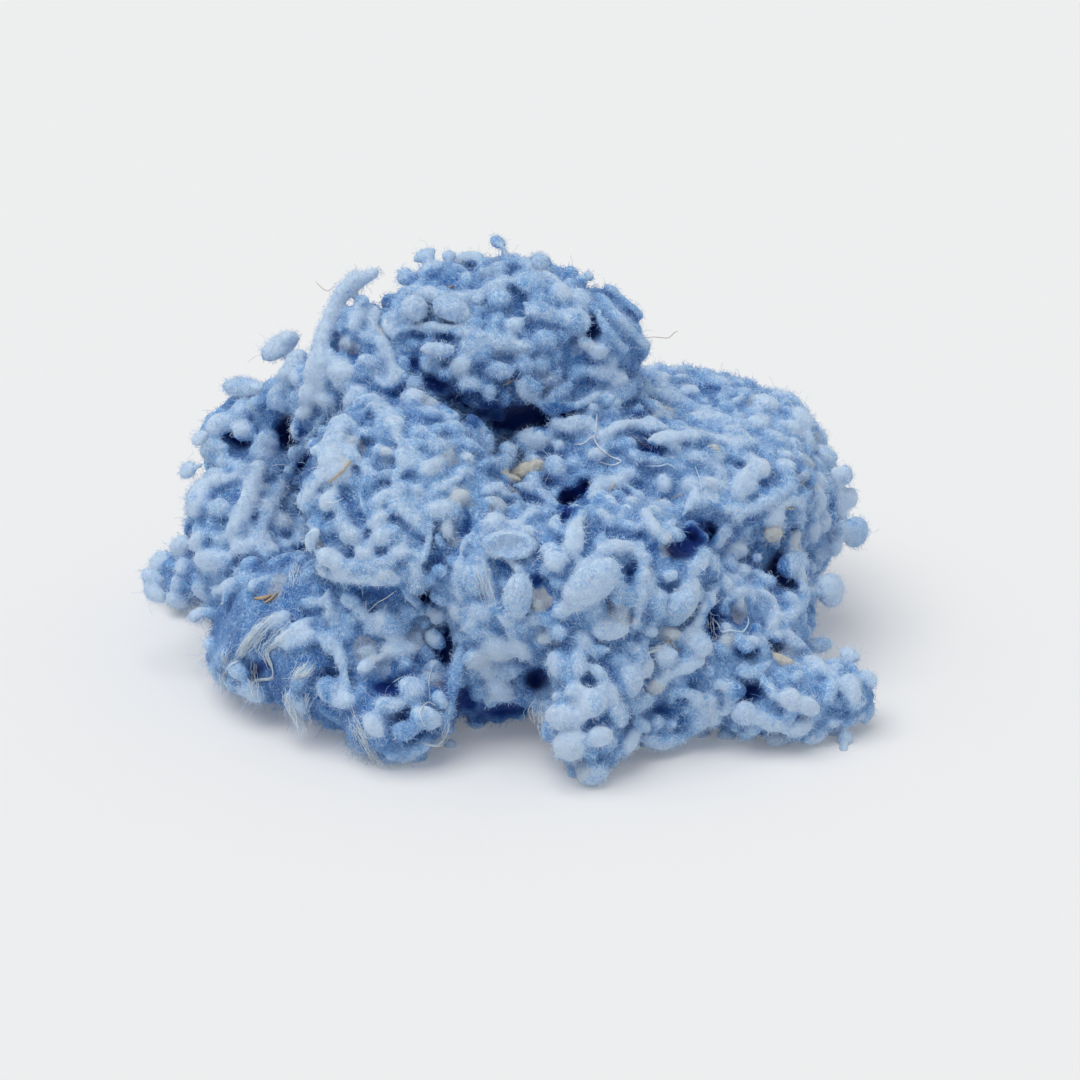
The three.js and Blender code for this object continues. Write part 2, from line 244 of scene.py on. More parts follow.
# Hollows that the photograph shows: x, y, half width, half height, depth in mm.
HOLLOWS = (
    # the dark cleft under the crown
    (412, 364, 12, 9, 6), (432, 382, 15, 11, 7), (455, 400, 20, 13, 8),
    (480, 414, 26, 17, 9), (504, 422, 26, 17, 9), (530, 419, 24, 13, 9),
    (556, 410, 20, 9, 7),
    # between the centre and the right
    (581, 492, 11, 13, 9), (568, 508, 14, 20, 10), (697, 533, 22, 16, 9),
    (684, 548, 16, 12, 8), (715, 507, 12, 8, 5), (780, 572, 11, 20, 7),
    (713, 622, 8, 24, 5), (735, 618, 14, 10, 3), (748, 690, 20, 13, 7),
    (536, 680, 15, 13, 7), (661, 712, 18, 12, 4), (540, 583, 9, 11, 6),
    (504, 566, 9, 8, 4), (434, 568, 13, 12, 4), (467, 524, 9, 14, 6),
    (390, 689, 15, 12, 6), (446, 650, 11, 26, 4.5), (412, 726, 24, 20, 2),
    (630, 575, 9, 9, 4), (655, 548, 8, 8, 4), (640, 535, 8, 7, 4),
    # left: over the flap, beside it and under its lower edge
    (367, 416, 9, 9, 4), (402, 393, 14, 6, 5), (348, 352, 14, 10, 3),
    (292, 432, 18, 16, 7), (305, 468, 8, 20, 5), (345, 500, 14, 6, 4),
    (365, 512, 8, 7, 2), (372, 592, 44, 7, 2.5), (425, 600, 14, 12, 5),
    (330, 690, 12, 18, 5), (262, 668, 16, 10, 4), (240, 440, 14, 10, 5),
    (464, 698, 15, 20, 5), (484, 722, 26, 10, 5),
    (592, 330, 12, 10, 4), (450, 335, 9, 6, 3), (745, 650, 14, 9, 5),
    (650, 450, 26, 8, 4), (510, 712, 34, 14, 6), (775, 648, 12, 10, 4),
    (512, 474, 16, 7, 2),
)
# A hollow's edge wanders, by pixels for each wave. Deep in a hollow the wool is painted
# dark as painted shade, and bare, and its rim is downy.
HOLLOW_WOBBLE = 9
WOBBLE_WAVES = (260, 750)
FINE_WOBBLE = 0.5
CARVE_REACH = 9 * MM
SHADE_REACH = 12 * MM
DARK_DEPTH = 9 * MM
MOST_DARK = 1.2
HOLLOW_PAINTED_SHADE = 1.3
BARE_DEPTH = 0.35
BARE_AIRINESS = 0.5
RIM_AIRINESS = 2
# How proud the wool stands, from -1 to 1, with 0.5 at the skin: it gives the colour, painted
# shade that darkens the wool below the skin and painted light that makes it paler where it
# stands proud, and down grows on what is proud, less at the back and none next to the floor.
NEPP_HEIGHT = 1.7 * MM
SKIN_PROUD = 0.5
NEPP_PROUD = 0.8
NEPP_SHADE = 0.4
AIRY_FROM = 0.1
AIRY_RANGE = 0.6
TURNED_AWAY = 0.2
AWAY_AIRINESS = 0.6
AIRY_HEIGHT = 1.0 * MM
BACK_AIRINESS = 0.55
# Whole clumps painted darker: painted shade on the crown, whose lower half curves under, and
# darker too on the left back and front left clumps.
CLUMP_DARKENING = {"crown_clump": -0.14, "left_back_clump": -0.1, "front_left_clump": -0.1}

# Linear colours of the wool, from the hollows up, and where on the ramp they lie: painted
# shade makes the wool navy down in the hollows, and painted light makes it paler where it
# stands proud, round the wool's own light blue.
SHADOW_BLUE = (0.005, 0.033, 0.215)
DEEP_SHADE_BLUE = (0.05, 0.19, 0.49)
MIDDLE_BLUE = (0.225, 0.44, 0.75)
PALE_AND_LIT_BLUE = (0.55, 0.70, 0.89)
WOOL_RAMP = ((0.1, SHADOW_BLUE), (0.51, DEEP_SHADE_BLUE), (0.79, MIDDLE_BLUE), (1.0, PALE_AND_LIT_BLUE))
COMBED_BLUE = (0.72, 0.80, 0.90)
FIBRE_BLUE = (0.70, 0.80, 0.92)
CREAM = (0.62, 0.60, 0.53)
# Fine streaks of fibre that cross each other: how each set is turned and stretched.
STREAKS = (
    ((0.3, 0.2, 0.5), (2700, 330, 2700)),
    ((1.2, 0.7, 2.0), (340, 2500, 2500)),
    ((2.2, 1.1, 0.4), (3000, 3000, 360)),
)
STREAK_BEND = 0.011
# How much each of these moves the wool's colour along the ramp.
CLOUD_SHARE = 0.9
FLECK_SHARE = 0.5
SHADE_SHARE = 0.22
FIBRE_SHADE_SHARE = 0.15
STREAK_SHARE = 1.5
STREAK_MIDDLE = 0.58
STREAK_HEIGHT = 0.8

# Loose fibres. Those of a wisp leave its path and come back to it in waves.
THREAD_STEP = 2.5
THREAD_LIFT = 0.45 * MM
THREAD_SIDES = 5
THREAD_TAPER = 0.6
THREAD_UP = (0.31, 0.47, 0.83)
WISP_LIFT = 0.5 * MM
WISP_FILL = 1.4
WISP_CURL = 0.11 * MM
WISP_WIDTH = (0.06, 0.13)
WISP_STARTS = (0, 0.35)
WISP_ENDS = (0.6, 1.0)
WISP_PHASES = (0, 6.3)
WISP_WAVES = (3, 9)
WISP_SWAY = 0.35
WISP_HEAVE = 0.3
WISP_DEPTH = 0.5
WISP_FLOOR = 0.1 * MM

# Each seen nepp: x, y, length, width, turn in degrees (clockwise), undyed share.
SEEN = (
    # crown, top and left
    (498, 242, 16, 13, 60, 0),
    (432, 271, 27, 17, 8, 0), (405, 276, 17, 17, 0, 0), (449, 256, 15, 12, 0, 0),
    (457, 267, 15, 10, 90, .4), (467, 277, 13, 10, 0, 0), (470, 257, 30, 12, 5, 0),
    (425, 255, 26, 12, -12, 0), (489, 273, 26, 9, 12, .2), (510, 262, 22, 13, 5, 0),
    (540, 263, 21, 17, 10, 0), (571, 273, 15, 14, 0, 0), (589, 276, 11, 10, 0, 0),
    (530, 285, 30, 22, 10, 0), (560, 295, 26, 20, 40, 0), (500, 300, 24, 20, 0, 0),
    (540, 312, 34, 16, -8, 0), (575, 322, 32, 26, 10, 0), (598, 351, 22, 15, -5, 0),
    (586, 344, 20, 14, 30, .15), (617, 380, 20, 20, 0, 0), (602, 372, 32, 18, 15, 0),
    (552, 379, 18, 11, -5, .2), (541, 365, 15, 14, 0, .1), (560, 391, 32, 13, -30, 0),
    (520, 347, 26, 13, 5, .2), (500, 345, 24, 13, 8, .15), (470, 322, 28, 13, 18, 0),
    (545, 340, 26, 20, 20, 0), (515, 325, 22, 16, -20, 0), (480, 355, 26, 14, 0, 0),
    (460, 365, 22, 20, 0, 0), (500, 370, 30, 18, 10, 0), (525, 365, 18, 16, 0, 0),
    (445, 375, 16, 14, 0, 0), (470, 385, 26, 18, 0, 0), (530, 385, 26, 18, 25, 0),
    (416, 385, 19, 17, 30, .1), (413, 399, 24, 18, 20, 0), (405, 365, 20, 14, 70, 0),
    (390, 330, 24, 14, 60, 0),
    (400, 310, 26, 16, 60, 0), (362, 301, 14, 13, 0, 0), (374, 315, 20, 14, 80, 0),
    (381, 332, 10, 8, 0, .6), (580, 300, 26, 18, 60, 0), (505, 283, 20, 14, 0, 0),
    # left upper tuft and what hangs at the left
    (344, 372, 28, 22, 10, 0), (345, 384, 22, 14, 0, .1), (368, 362, 24, 15, 10, 0),
    (310, 395, 24, 20, 90, 0), (322, 375, 30, 16, 80, 0), (280, 346, 42, 21, -8, 0),
    (287, 337, 14, 12, 0, 0), (296, 358, 24, 15, -8, .1), (290, 371, 28, 16, 0, 0),
    (283, 390, 36, 15, -6, 0), (283, 404, 24, 14, 20, 0), (305, 412, 20, 14, -20, 0),
    (258, 404, 16, 18, 80, 0), (243, 387, 46, 19, 4, 0), (243, 412, 26, 20, 90, 0),
    (222, 425, 34, 22, -15, 0), (245, 432, 22, 20, 0, 0), (218, 446, 30, 16, 5, 0),
    (207, 455, 16, 9, 10, .3), (228, 462, 36, 16, 5, 0), (188, 470, 17, 16, 0, 0),
    (215, 475, 24, 16, 10, 0), (270, 440, 26, 20, 30, 0), (265, 456, 24, 16, 0, 0),
    (200, 438, 18, 14, 0, 0), (258, 470, 20, 16, 60, 0), (203, 500, 30, 30, 60, 0),
    # left middle, left tail
    (222, 508, 22, 20, 10, 0), (265, 510, 20, 15, -60, 0), (282, 524, 20, 17, 0, .1),
    (246, 547, 32, 17, -8, 0), (216, 559, 42, 24, -10, 0), (205, 590, 28, 17, 10, .1),
    (250, 565, 22, 14, -20, 0), (255, 586, 13, 13, 0, 0), (232, 589, 36, 8, -25, 0),
    (240, 525, 22, 14, 0, 0), (268, 550, 28, 16, 20, 0), (200, 540, 26, 16, -20, 0),
    (180, 545, 22, 18, -20, 0), (162, 562, 26, 18, -30, 0), (152, 578, 22, 18, 0, 0),
    (155, 594, 24, 16, 0, 0), (178, 598, 26, 18, 10, 0), (185, 565, 24, 14, -50, 0),
    (195, 616, 14, 13, 0, 0), (213, 645, 13, 17, 10, 0), (208, 612, 30, 12, 10, 0),
    (312, 603, 28, 13, 5, 0), (332, 616, 15, 14, 0, .1), (348, 618, 16, 11, 10, 0),
    # front left
    (345, 525, 26, 18, 60, 0), (330, 500, 28, 18, -50, 0), (336, 560, 28, 20, 30, 0),
    (352, 566, 26, 16, -10, 0), (385, 573, 22, 15, 5, .15), (418, 586, 17, 16, 0, .15),
    (352, 600, 26, 16, 40, 0), (362, 612, 24, 14, 50, 0), (350, 622, 14, 10, 20, 0),
    (388, 625, 40, 26, 45, 0), (410, 610, 22, 16, 20, 0), (418, 637, 13, 9, 60, .3),
    (377, 659, 18, 8, -8, .2), (366, 668, 20, 14, -10, 0), (400, 650, 40, 20, -10, 0),
    (412, 690, 30, 22, -8, 0), (390, 706, 32, 17, 5, .1), (355, 746, 18, 24, 10, 0),
    (345, 700, 30, 20, 10, 0), (425, 718, 34, 24, 10, 0), (405, 730, 28, 20, 0, 0),
    (415, 758, 26, 15, 5, 0), (375, 725, 30, 20, 50, 0), (330, 690, 30, 24, 60, 0),
    (300, 700, 30, 22, 60, 0), (255, 690, 26, 20, 0, 0), (240, 670, 22, 18, 0, 0),
    (300, 640, 40, 18, -20, 0), (280, 620, 30, 16, -20, 0), (330, 645, 24, 18, 60, 0),
    (436, 640, 26, 18, 40, 0), (440, 700, 22, 16, 60, 0), (450, 745, 14, 12, 0, 0),
    # flap and what lies under it
    (366, 433, 20, 12, 10, 0), (352, 425, 12, 10, 0, 0), (385, 452, 28, 10, 15, .2),
    (388, 475, 22, 11, -5, .1), (382, 498, 30, 14, -40, 0), (378, 520, 28, 15, -30, 0),
    (368, 470, 18, 10, 30, 0), (395, 425, 22, 16, 20, 0), (350, 455, 26, 18, 50, 0),
    (380, 540, 24, 14, 0, 0), (400, 553, 26, 15, -12, 0), (365, 552, 22, 14, 0, 0),
    (375, 410, 22, 14, 0, .1), (430, 415, 24, 16, 20, 0), (455, 430, 22, 16, 0, 0),
    (352, 535, 26, 20, 0, .1), (382, 535, 20, 18, 0, 0), (394, 532, 18, 16, 20, 0),
    (327, 556, 22, 20, 0, 0), (372, 566, 24, 14, 0, 0),
    # centre clump
    (415, 444, 24, 13, 5, 0), (410, 455, 16, 11, 0, 0), (412, 464, 15, 15, 0, 0),
    (432, 468, 32, 18, -30, .1), (440, 448, 24, 17, -10, .1), (470, 446, 20, 12, 0, 0),
    (485, 441, 26, 15, 75, 0), (507, 452, 22, 16, 60, 0), (534, 441, 42, 26, -8, 0),
    (558, 425, 18, 17, 0, 0), (556, 469, 26, 22, 60, 0), (467, 458, 14, 10, 0, .1),
    (417, 490, 12, 12, 0, 0), (440, 510, 36, 20, -15, 0), (460, 497, 20, 15, 0, .4),
    (453, 513, 20, 15, -10, .1), (448, 531, 20, 14, 80, .3), (497, 505, 22, 13, 60, .4),
    (530, 533, 15, 15, 0, 0), (465, 472, 18, 12, 0, 0), (475, 425, 22, 14, 10, 0),
    (440, 597, 22, 14, 10, 0), (438, 615, 15, 17, 20, 0), (460, 611, 23, 19, 80, .1),
    (475, 580, 32, 18, 90, 0), (490, 578, 34, 9, 80, 0), (483, 610, 23, 20, 0, 0),
    (508, 619, 17, 13, 0, 0), (535, 618, 17, 14, 0, .1), (538, 603, 11, 10, 0, .6),
    (545, 638, 15, 11, 0, .3), (476, 657, 25, 23, 30, .15), (463, 638, 20, 16, 0, 0),
    (500, 645, 40, 26, 20, .1), (525, 648, 26, 20, 40, 0), (500, 688, 32, 24, 45, 0),
    (487, 668, 30, 18, 60, 0), (510, 668, 30, 20, -30, 0), (556, 562, 24, 22, 0, 0),
    (550, 550, 20, 15, 0, 0), (562, 610, 22, 16, 0, 0), (560, 632, 18, 16, 0, 0),
    (440, 570, 18, 14, 0, 0), (415, 520, 26, 14, 70, 0), (395, 505, 22, 15, 80, 0),
    (513, 479, 16, 8, -12, 1),
    # middle right
    (590, 585, 66, 34, -44, .1), (616, 590, 32, 16, 85, 0), (629, 596, 24, 12, 80, 0),
    (657, 603, 28, 22, 70, 0), (680, 602, 54, 28, -60, .1), (650, 632, 16, 12, 10, 0),
    (610, 628, 38, 24, 0, 0), (673, 634, 18, 13, 10, .5), (640, 655, 22, 17, 60, 0),
    (645, 667, 22, 16, 80, .1), (655, 685, 24, 16, -10, .5), (665, 655, 26, 20, 0, 0),
    (700, 645, 26, 24, 40, 0), (558, 664, 30, 19, 80, 0), (578, 664, 32, 17, 90, 0),
    (600, 650, 24, 11, -5, 0), (629, 680, 34, 24, 80, 0), (640, 700, 26, 20, 0, 0),
    (690, 583, 20, 14, 0, 0), (670, 575, 18, 12, 0, 0), (725, 585, 18, 14, 40, 0),
    # right lobe
    (613, 403, 16, 14, 0, 0), (593, 409, 13, 12, 0, .1), (577, 425, 34, 19, -10, 0),
    (651, 424, 21, 14, 0, 0), (666, 411, 10, 9, 0, .7), (690, 392, 22, 13, 20, 0),
    (727, 408, 21, 13, 10, 0), (695, 457, 15, 14, 0, .1), (637, 457, 19, 15, 20, 0),
    (600, 480, 15, 11, 10, .1), (597, 455, 22, 14, -10, 0), (709, 484, 19, 14, 0, .1),
    (663, 485, 16, 22, -10, 0), (664, 507, 20, 13, 10, 0), (628, 475, 22, 14, -20, 0),
    (741, 485, 36, 21, -70, 0), (676, 536, 19, 14, 0, .1), (600, 515, 14, 12, 40, 0),
    (745, 530, 14, 12, 0, 0), (738, 549, 21, 17, 20, .1),
    (743, 572, 18, 15, 0, .1), (757, 558, 12, 11, 0, 0), (792, 540, 22, 14, -35, .4),
    (785, 467, 22, 14, -15, 0), (787, 456, 14, 10, 10, 0), (795, 447, 22, 13, 60, .1),
    (806, 464, 14, 13, 0, .4), (829, 455, 19, 13, 0, 0), (822, 440, 10, 10, 0, 0),
    (845, 475, 20, 16, 60, 0), (850, 498, 20, 16, 60, 0), (855, 532, 30, 26, 70, 0),
    (806, 592, 26, 12, -12, .2), (797, 573, 30, 14, -70, 0), (830, 590, 34, 28, 70, 0),
    (810, 530, 22, 18, 60, 0), (790, 565, 34, 26, -30, 0), (760, 470, 22, 20, 60, .1),
    (758, 425, 22, 18, 20, 0), (735, 435, 30, 16, 20, 0), (775, 440, 26, 16, 60, 0),
    (800, 420, 30, 20, 40, 0), (765, 405, 30, 18, 30, 0), (720, 385, 30, 16, 10, 0),
    (655, 372, 30, 14, -8, 0), (625, 390, 24, 14, -20, 0), (670, 395, 26, 14, 10, 0),
    (700, 420, 30, 15, 5, 0), (745, 395, 22, 14, 20, 0), (815, 500, 30, 20, 70, 0),
    (790, 600, 20, 14, 20, 0), (740, 510, 22, 12, 10, 0), (730, 565, 24, 14, 50, 0),
    # right front clump, tail
    (770, 690, 30, 13, 55, 0), (806, 706, 28, 19, 20, 0), (815, 668, 32, 20, 80, 0),
    (850, 690, 34, 20, 80, 0), (868, 680, 20, 14, 70, 0), (866, 712, 24, 16, 80, 0),
    (835, 728, 23, 18, -20, 0), (735, 690, 24, 20, 0, 0), (745, 712, 27, 24, 40, 0),
    (772, 722, 30, 16, 20, 0), (798, 727, 30, 16, -8, 0), (752, 740, 20, 16, 20, 0),
    (772, 744, 19, 14, -40, 0), (628, 740, 21, 19, 0, 0), (645, 745, 13, 9, 20, .1),
    (640, 725, 22, 16, 20, 0), (712, 716, 22, 18, 0, 0), (705, 700, 26, 16, 0, 0),
    (700, 735, 24, 14, 0, 0), (725, 640, 12, 13, 0, .3), (790, 645, 24, 14, 30, 0),
    (820, 645, 26, 16, 10, 0), (850, 655, 22, 14, 30, 0), (740, 640, 18, 14, 0, 0),
    (727, 735, 20, 14, 0, 0), (790, 700, 26, 22, 60, .1), (845, 740, 18, 16, 0, 0),
    # front foot
    (562, 716, 29, 26, 0, .1), (592, 703, 30, 30, 0, 0), (572, 743, 32, 34, 70, .1),
    (600, 735, 26, 22, 0, 0), (592, 770, 34, 28, -20, 0), (618, 715, 28, 18, 80, 0),
    (574, 772, 14, 20, 0, 0), (540, 707, 16, 14, 0, .1), (575, 690, 22, 18, 0, 0),
    (605, 690, 22, 18, 0, 0),
)

# Each felted lock: width and thickness in pixels, then the points that it follows.
LOCKS = (
    # crown: folds over and under the ball and the oval, ribbons at the right
    (13, 10, ((398, 288), (420, 291), (442, 298), (470, 297), (498, 286), (524, 276))),
    (12, 10, ((398, 331), (424, 327), (450, 329), (480, 336), (505, 334))),
    (13, 10, ((448, 258), (480, 262), (512, 260), (545, 275), (565, 285))),
    (13, 10, ((465, 350), (490, 343), (522, 343))),
    (16, 12, ((604, 284), (626, 304), (643, 319))),
    (13, 10, ((598, 292), (618, 318), (640, 340), (651, 349))),
    (12, 10, ((592, 300), (604, 326), (620, 346), (628, 352))),
    (14, 11, ((514, 380), (530, 396), (552, 408), (578, 405), (602, 392))),
    (12, 9, ((520, 300), (548, 318), (572, 314), (590, 322))),
    (7, 6, ((498, 242), (504, 250), (509, 262))),
    (6, 5, ((188, 470), (196, 467), (206, 462))),
    (9, 7, ((280, 348), (289, 356), (294, 366))),
    # left upper tuft: the arch and its inner lock
    (25, 18, ((318, 392), (320, 360), (326, 330), (338, 300), (352, 283), (366, 277),
              (380, 270))),
    (14, 11, ((362, 302), (356, 318), (352, 334))),
    (13, 10, ((370, 316), (378, 340), (392, 362), (394, 380), (384, 386), (376, 378))),
    (12, 9, ((330, 345), (332, 368), (338, 384))),
    (18, 13, ((318, 400), (312, 372), (318, 345))),
    # flap: the wide fold that ends in a pouch, and the locks that hang beside it
    (26, 15, ((366, 388), (350, 404), (337, 430), (328, 452))),
    (32, 18, ((330, 446), (334, 466), (346, 482))),
    (10, 8, ((372, 392), (388, 410), (396, 432), (402, 458), (398, 480))),
    (14, 10, ((396, 478), (401, 500), (410, 518), (424, 534))),
    (15, 10, ((324, 466), (311, 488), (303, 516), (298, 546))),
    (5, 4, ((298, 540), (296, 560), (294, 582))),
    (4, 4, ((294, 582), (304, 576), (316, 571), (330, 573))),
    (13, 10, ((308, 560), (326, 573), (350, 577), (376, 582), (402, 579))),
    (11, 8, ((352, 578), (364, 566), (382, 562), (402, 559))),
    (4, 4, ((357, 488), (361, 502), (365, 520))),
    (8, 6, ((330, 408), (318, 426), (306, 442))),
    (12, 8, ((312, 434), (302, 450), (288, 462))),
    (9, 8, ((424, 498), (444, 487), (466, 474))),
    (11, 8, ((430, 520), (428, 545), (420, 566))),
    (22, 14, ((258, 462), (252, 490), (240, 520), (226, 540))),
    (17, 12, ((285, 480), (272, 505), (262, 535), (268, 560))),
    (14, 10, ((196, 596), (220, 590), (246, 578))),
    (14, 11, ((205, 480), (232, 478), (250, 460), (262, 440))),
    # front left: wisps that hang to the floor, locks between them
    (12, 8, ((288, 610), (264, 626), (247, 645), (238, 658))),
    (16, 11, ((310, 622), (288, 634), (274, 645))),
    (13, 9, ((336, 640), (343, 668), (346, 698))),
    (12, 9, ((314, 664), (302, 676), (293, 690))),
    (13, 10, ((350, 596), (362, 612), (374, 622))),
    (10, 8, ((400, 590), (416, 602), (424, 616))),
    # centre
    (15, 11, ((463, 640), (459, 662), (453, 690), (447, 714), (444, 732))),
    (7, 6, ((478, 508), (474, 528), (463, 546), (460, 562))),
    (13, 10, ((461, 556), (459, 580), (461, 604))),
    (14, 8, ((482, 492), (510, 486), (540, 492), (556, 510), (552, 530))),
    (12, 9, ((470, 640), (486, 632), (500, 640))),
    (9, 8, ((474, 545), (482, 536), (500, 532), (519, 535), (527, 543), (518, 551),
            (500, 554), (483, 552), (474, 545))),
    (9, 7, ((504, 556), (516, 566), (526, 582))),
    (7, 6, ((484, 556), (488, 576), (494, 600))),
    # middle: the arch of a pale lock, and the ribbons round it
    (17, 13, ((574, 558), (575, 530), (584, 504), (603, 486), (626, 483))),
    (14, 11, ((626, 486), (640, 498), (648, 518), (660, 538))),
    (17, 13, ((566, 604), (584, 572), (606, 550), (646, 545))),
    (11, 9, ((640, 556), (644, 580), (638, 612), (634, 632))),
    (15, 11, ((715, 588), (706, 606), (696, 626), (684, 640))),
    (12, 9, ((662, 678), (684, 668), (708, 662))),
    (15, 12, ((590, 664), (606, 682), (615, 706), (614, 722))),
    (13, 10, ((578, 690), (584, 708), (574, 730))),
    # right lobe: ridge over the hollow, the curved lock, the side folds
    (19, 12, ((646, 442), (676, 436), (708, 437), (740, 444), (760, 440))),
    (12, 9, ((594, 440), (626, 424), (660, 428), (700, 430))),
    (17, 11, ((600, 402), (640, 392), (684, 402), (722, 420), (752, 424))),
    (9, 8, ((696, 478), (694, 496), (684, 514), (664, 528))),
    (12, 10, ((702, 492), (716, 506), (742, 513), (768, 501), (788, 490))),
    (16, 12, ((729, 525), (715, 545), (700, 562), (688, 576))),
    (10, 8, ((768, 515), (790, 503), (806, 505), (818, 520))),
    (17, 12, ((834, 466), (842, 500), (840, 535), (830, 560))),
    (14, 11, ((776, 420), (800, 432), (818, 450))),
    (10, 8, ((690, 455), (716, 466), (724, 482))),
    (13, 10, ((748, 452), (754, 470), (748, 496))),
    # the bowl at the right, with its rim
    (13, 11, ((722, 602), (744, 592), (768, 598), (776, 614), (764, 634), (738, 650))),
    (13, 10, ((738, 675), (756, 671), (772, 662))),
    (14, 11, ((776, 628), (796, 612), (808, 596))),
    (12, 9, ((762, 640), (790, 636), (806, 650))),
    # right front
    (20, 15, ((668, 694), (690, 694), (702, 712), (690, 732), (662, 742), (640, 736))),
    (13, 10, ((836, 658), (832, 684), (826, 706))),
    (10, 8, ((712, 690), (722, 684), (732, 694), (728, 712), (716, 712), (710, 702))),
    (9, 7, ((845, 738), (842, 758))),
    (12, 10, ((540, 708), (558, 700), (574, 688))),
    (14, 11, ((730, 704), (756, 716), (784, 728), (806, 730))),
)

# Bundles of loose fibres: how many, how wide at the start and at the end in pixels,
# and the points that they follow.
WISPS = (
    (26, 12, 1.5, ((288, 606), (264, 624), (246, 646), (236, 660), (226, 670), (222, 694))),
    (26, 14, 2.0, ((306, 622), (286, 634), (274, 645), (267, 652), (269, 662), (274, 674))),
    (12, 3, 1.5, ((274, 668), (272, 678), (262, 680), (253, 682), (252, 690))),
    (30, 12, 2.5, ((314, 660), (301, 674), (292, 684), (289, 700), (294, 716), (300, 728),
                   (302, 741))),
    (10, 3, 1.0, ((309, 690), (306, 704), (310, 716), (311, 728))),
    (26, 8, 10.0, ((350, 700), (357, 722), (366, 742), (377, 760), (388, 776))),
    (14, 10, 8.0, ((256, 656), (254, 680), (258, 706))),
    (12, 6, 4.0, ((232, 640), (226, 660), (230, 680))),
    (12, 6, 1.0, ((446, 712), (446, 728), (442, 740), (435, 746), (422, 743))),
    (14, 10, 6.0, ((300, 560), (296, 574), (292, 590))),
    (12, 8, 6.0, ((190, 596), (202, 604), (214, 600))),
    (12, 6, 6.0, ((640, 655), (656, 650), (672, 640))),
    (10, 6, 4.0, ((714, 600), (712, 622), (714, 642))),
    (16, 10, 12.0, ((542, 700), (540, 716), (548, 736))),
    (14, 8, 5.0, ((370, 268), (378, 270), (384, 276))),
    (12, 8, 9.0, ((478, 560), (482, 590), (490, 612))),
)

# Threads, hairs, straw and chips: kind, width in mm, then the points.
STRAYS = (
    ("white", 0.26, ((597, 413), (596, 432), (594, 438), (600, 448), (610, 456), (621, 461),
                     (612, 465), (600, 462))),
    ("white", 0.26, ((573, 444), (582, 444), (590, 438), (594, 436))),
    ("pale", 0.4, ((712, 618), (718, 624), (722, 632), (730, 630), (742, 632), (748, 624),
                   (748, 616))),
    ("pale", 0.28, ((642, 466), (660, 466), (668, 464), (678, 470))),
    ("pale", 0.25, ((695, 466), (700, 480), (702, 495))),
    ("white", 0.22, ((430, 736), (420, 716), (422, 708), (428, 702), (436, 706))),
    ("pale", 0.2, ((430, 700), (429, 680), (434, 665), (444, 659))),
    ("pale", 0.3, ((222, 695), (223, 676), (230, 666), (240, 660))),
    ("pale", 0.3, ((253, 690), (253, 682), (262, 679), (272, 677), (272, 665), (268, 655),
                   (268, 648), (278, 642))),
    ("pale", 0.3, ((291, 680), (290, 700), (296, 715), (298, 730), (301, 740))),
    ("pale", 0.24, ((306, 705), (310, 715), (310, 726))),
    ("white", 0.2, ((366, 614), (376, 604), (386, 598), (397, 590))),
    ("white", 0.18, ((366, 610), (366, 600))),
    ("pale", 0.2, ((392, 683), (398, 679), (404, 676))),
    ("pale", 0.3, ((446, 730), (442, 740), (434, 745), (422, 743))),
    ("pale", 0.22, ((500, 556), (508, 562), (514, 574), (512, 588))),
    ("pale", 0.2, ((484, 560), (487, 578), (493, 592), (496, 608))),
    ("pale", 0.2, ((278, 714), (272, 718), (276, 724), (288, 716))),
    ("white", 0.14, ((265, 472), (275, 465), (287, 466), (297, 474), (300, 486), (295, 488),
                     (283, 484), (280, 478))),
    ("white", 0.14, ((302, 486), (304, 475), (312, 468), (320, 467))),
    ("white", 0.14, ((322, 502), (335, 502), (345, 497))),
    ("hair", 0.12, ((643, 338), (655, 337), (668, 338), (674, 333), (678, 331))),
    ("hair", 0.1, ((315, 281), (322, 288), (328, 291), (334, 286))),
    ("hair", 0.22, ((630, 434), (638, 441), (650, 449))),
    ("straw", 0.42, ((327, 484), (340, 473), (352, 460))),
    ("straw", 0.8, ((254, 598), (263, 598), (271, 595))),
    ("straw", 0.55, ((264, 603), (271, 599), (277, 592))),
    ("straw", 0.4, ((503, 385), (508, 383), (514, 379))),
    ("straw", 0.35, ((608, 492), (612, 488), (616, 483))),
    ("straw", 0.3, ((785, 507), (791, 509), (797, 507))),
    ("straw", 0.3, ((668, 640), (674, 646), (680, 652))),
    ("straw", 0.2, ((672, 498), (678, 496), (683, 494))),
    ("straw", 0.26, ((630, 615), (632, 620), (631, 625))),
    ("hair", 0.4, ((446, 285), (450, 287), (455, 286))),
)


def new_object(name, mesh, *materials):
    piece = bpy.data.objects.new(name, mesh)
    bpy.context.scene.collection.objects.link(piece)
    for material in materials:
        mesh.materials.append(material)
    return piece


def mesh_from(name, points, faces):
    mesh = bpy.data.meshes.new(name)
    mesh.from_pydata([tuple(p) for p in points], [], [tuple(f) for f in faces])
    mesh.update()
    return mesh


def settled(piece):
    """The piece with its modifiers turned into a plain mesh."""
    graph = bpy.context.evaluated_depsgraph_get()
    plain = bpy.data.meshes.new_from_object(piece.evaluated_get(graph))
    old = piece.data
    piece.modifiers.clear()
    piece.data = plain
    if old.users == 0:
        bpy.data.meshes.remove(old)
    return piece


def vectors_of(items, field):
    flat = np.empty(len(items) * 3)
    items.foreach_get(field, flat)
    return flat.reshape(-1, 3)


def points_of(mesh):
    return vectors_of(mesh.vertices, "co")


def normals_of(mesh):
    return vectors_of(mesh.vertex_normals, "vector")


def parts_of(mesh):
    return points_of(mesh), [tuple(p.vertices) for p in mesh.polygons]


def set_points(mesh, points):
    mesh.vertices.foreach_set("co", points.astype(np.float32).ravel())
    mesh.update()


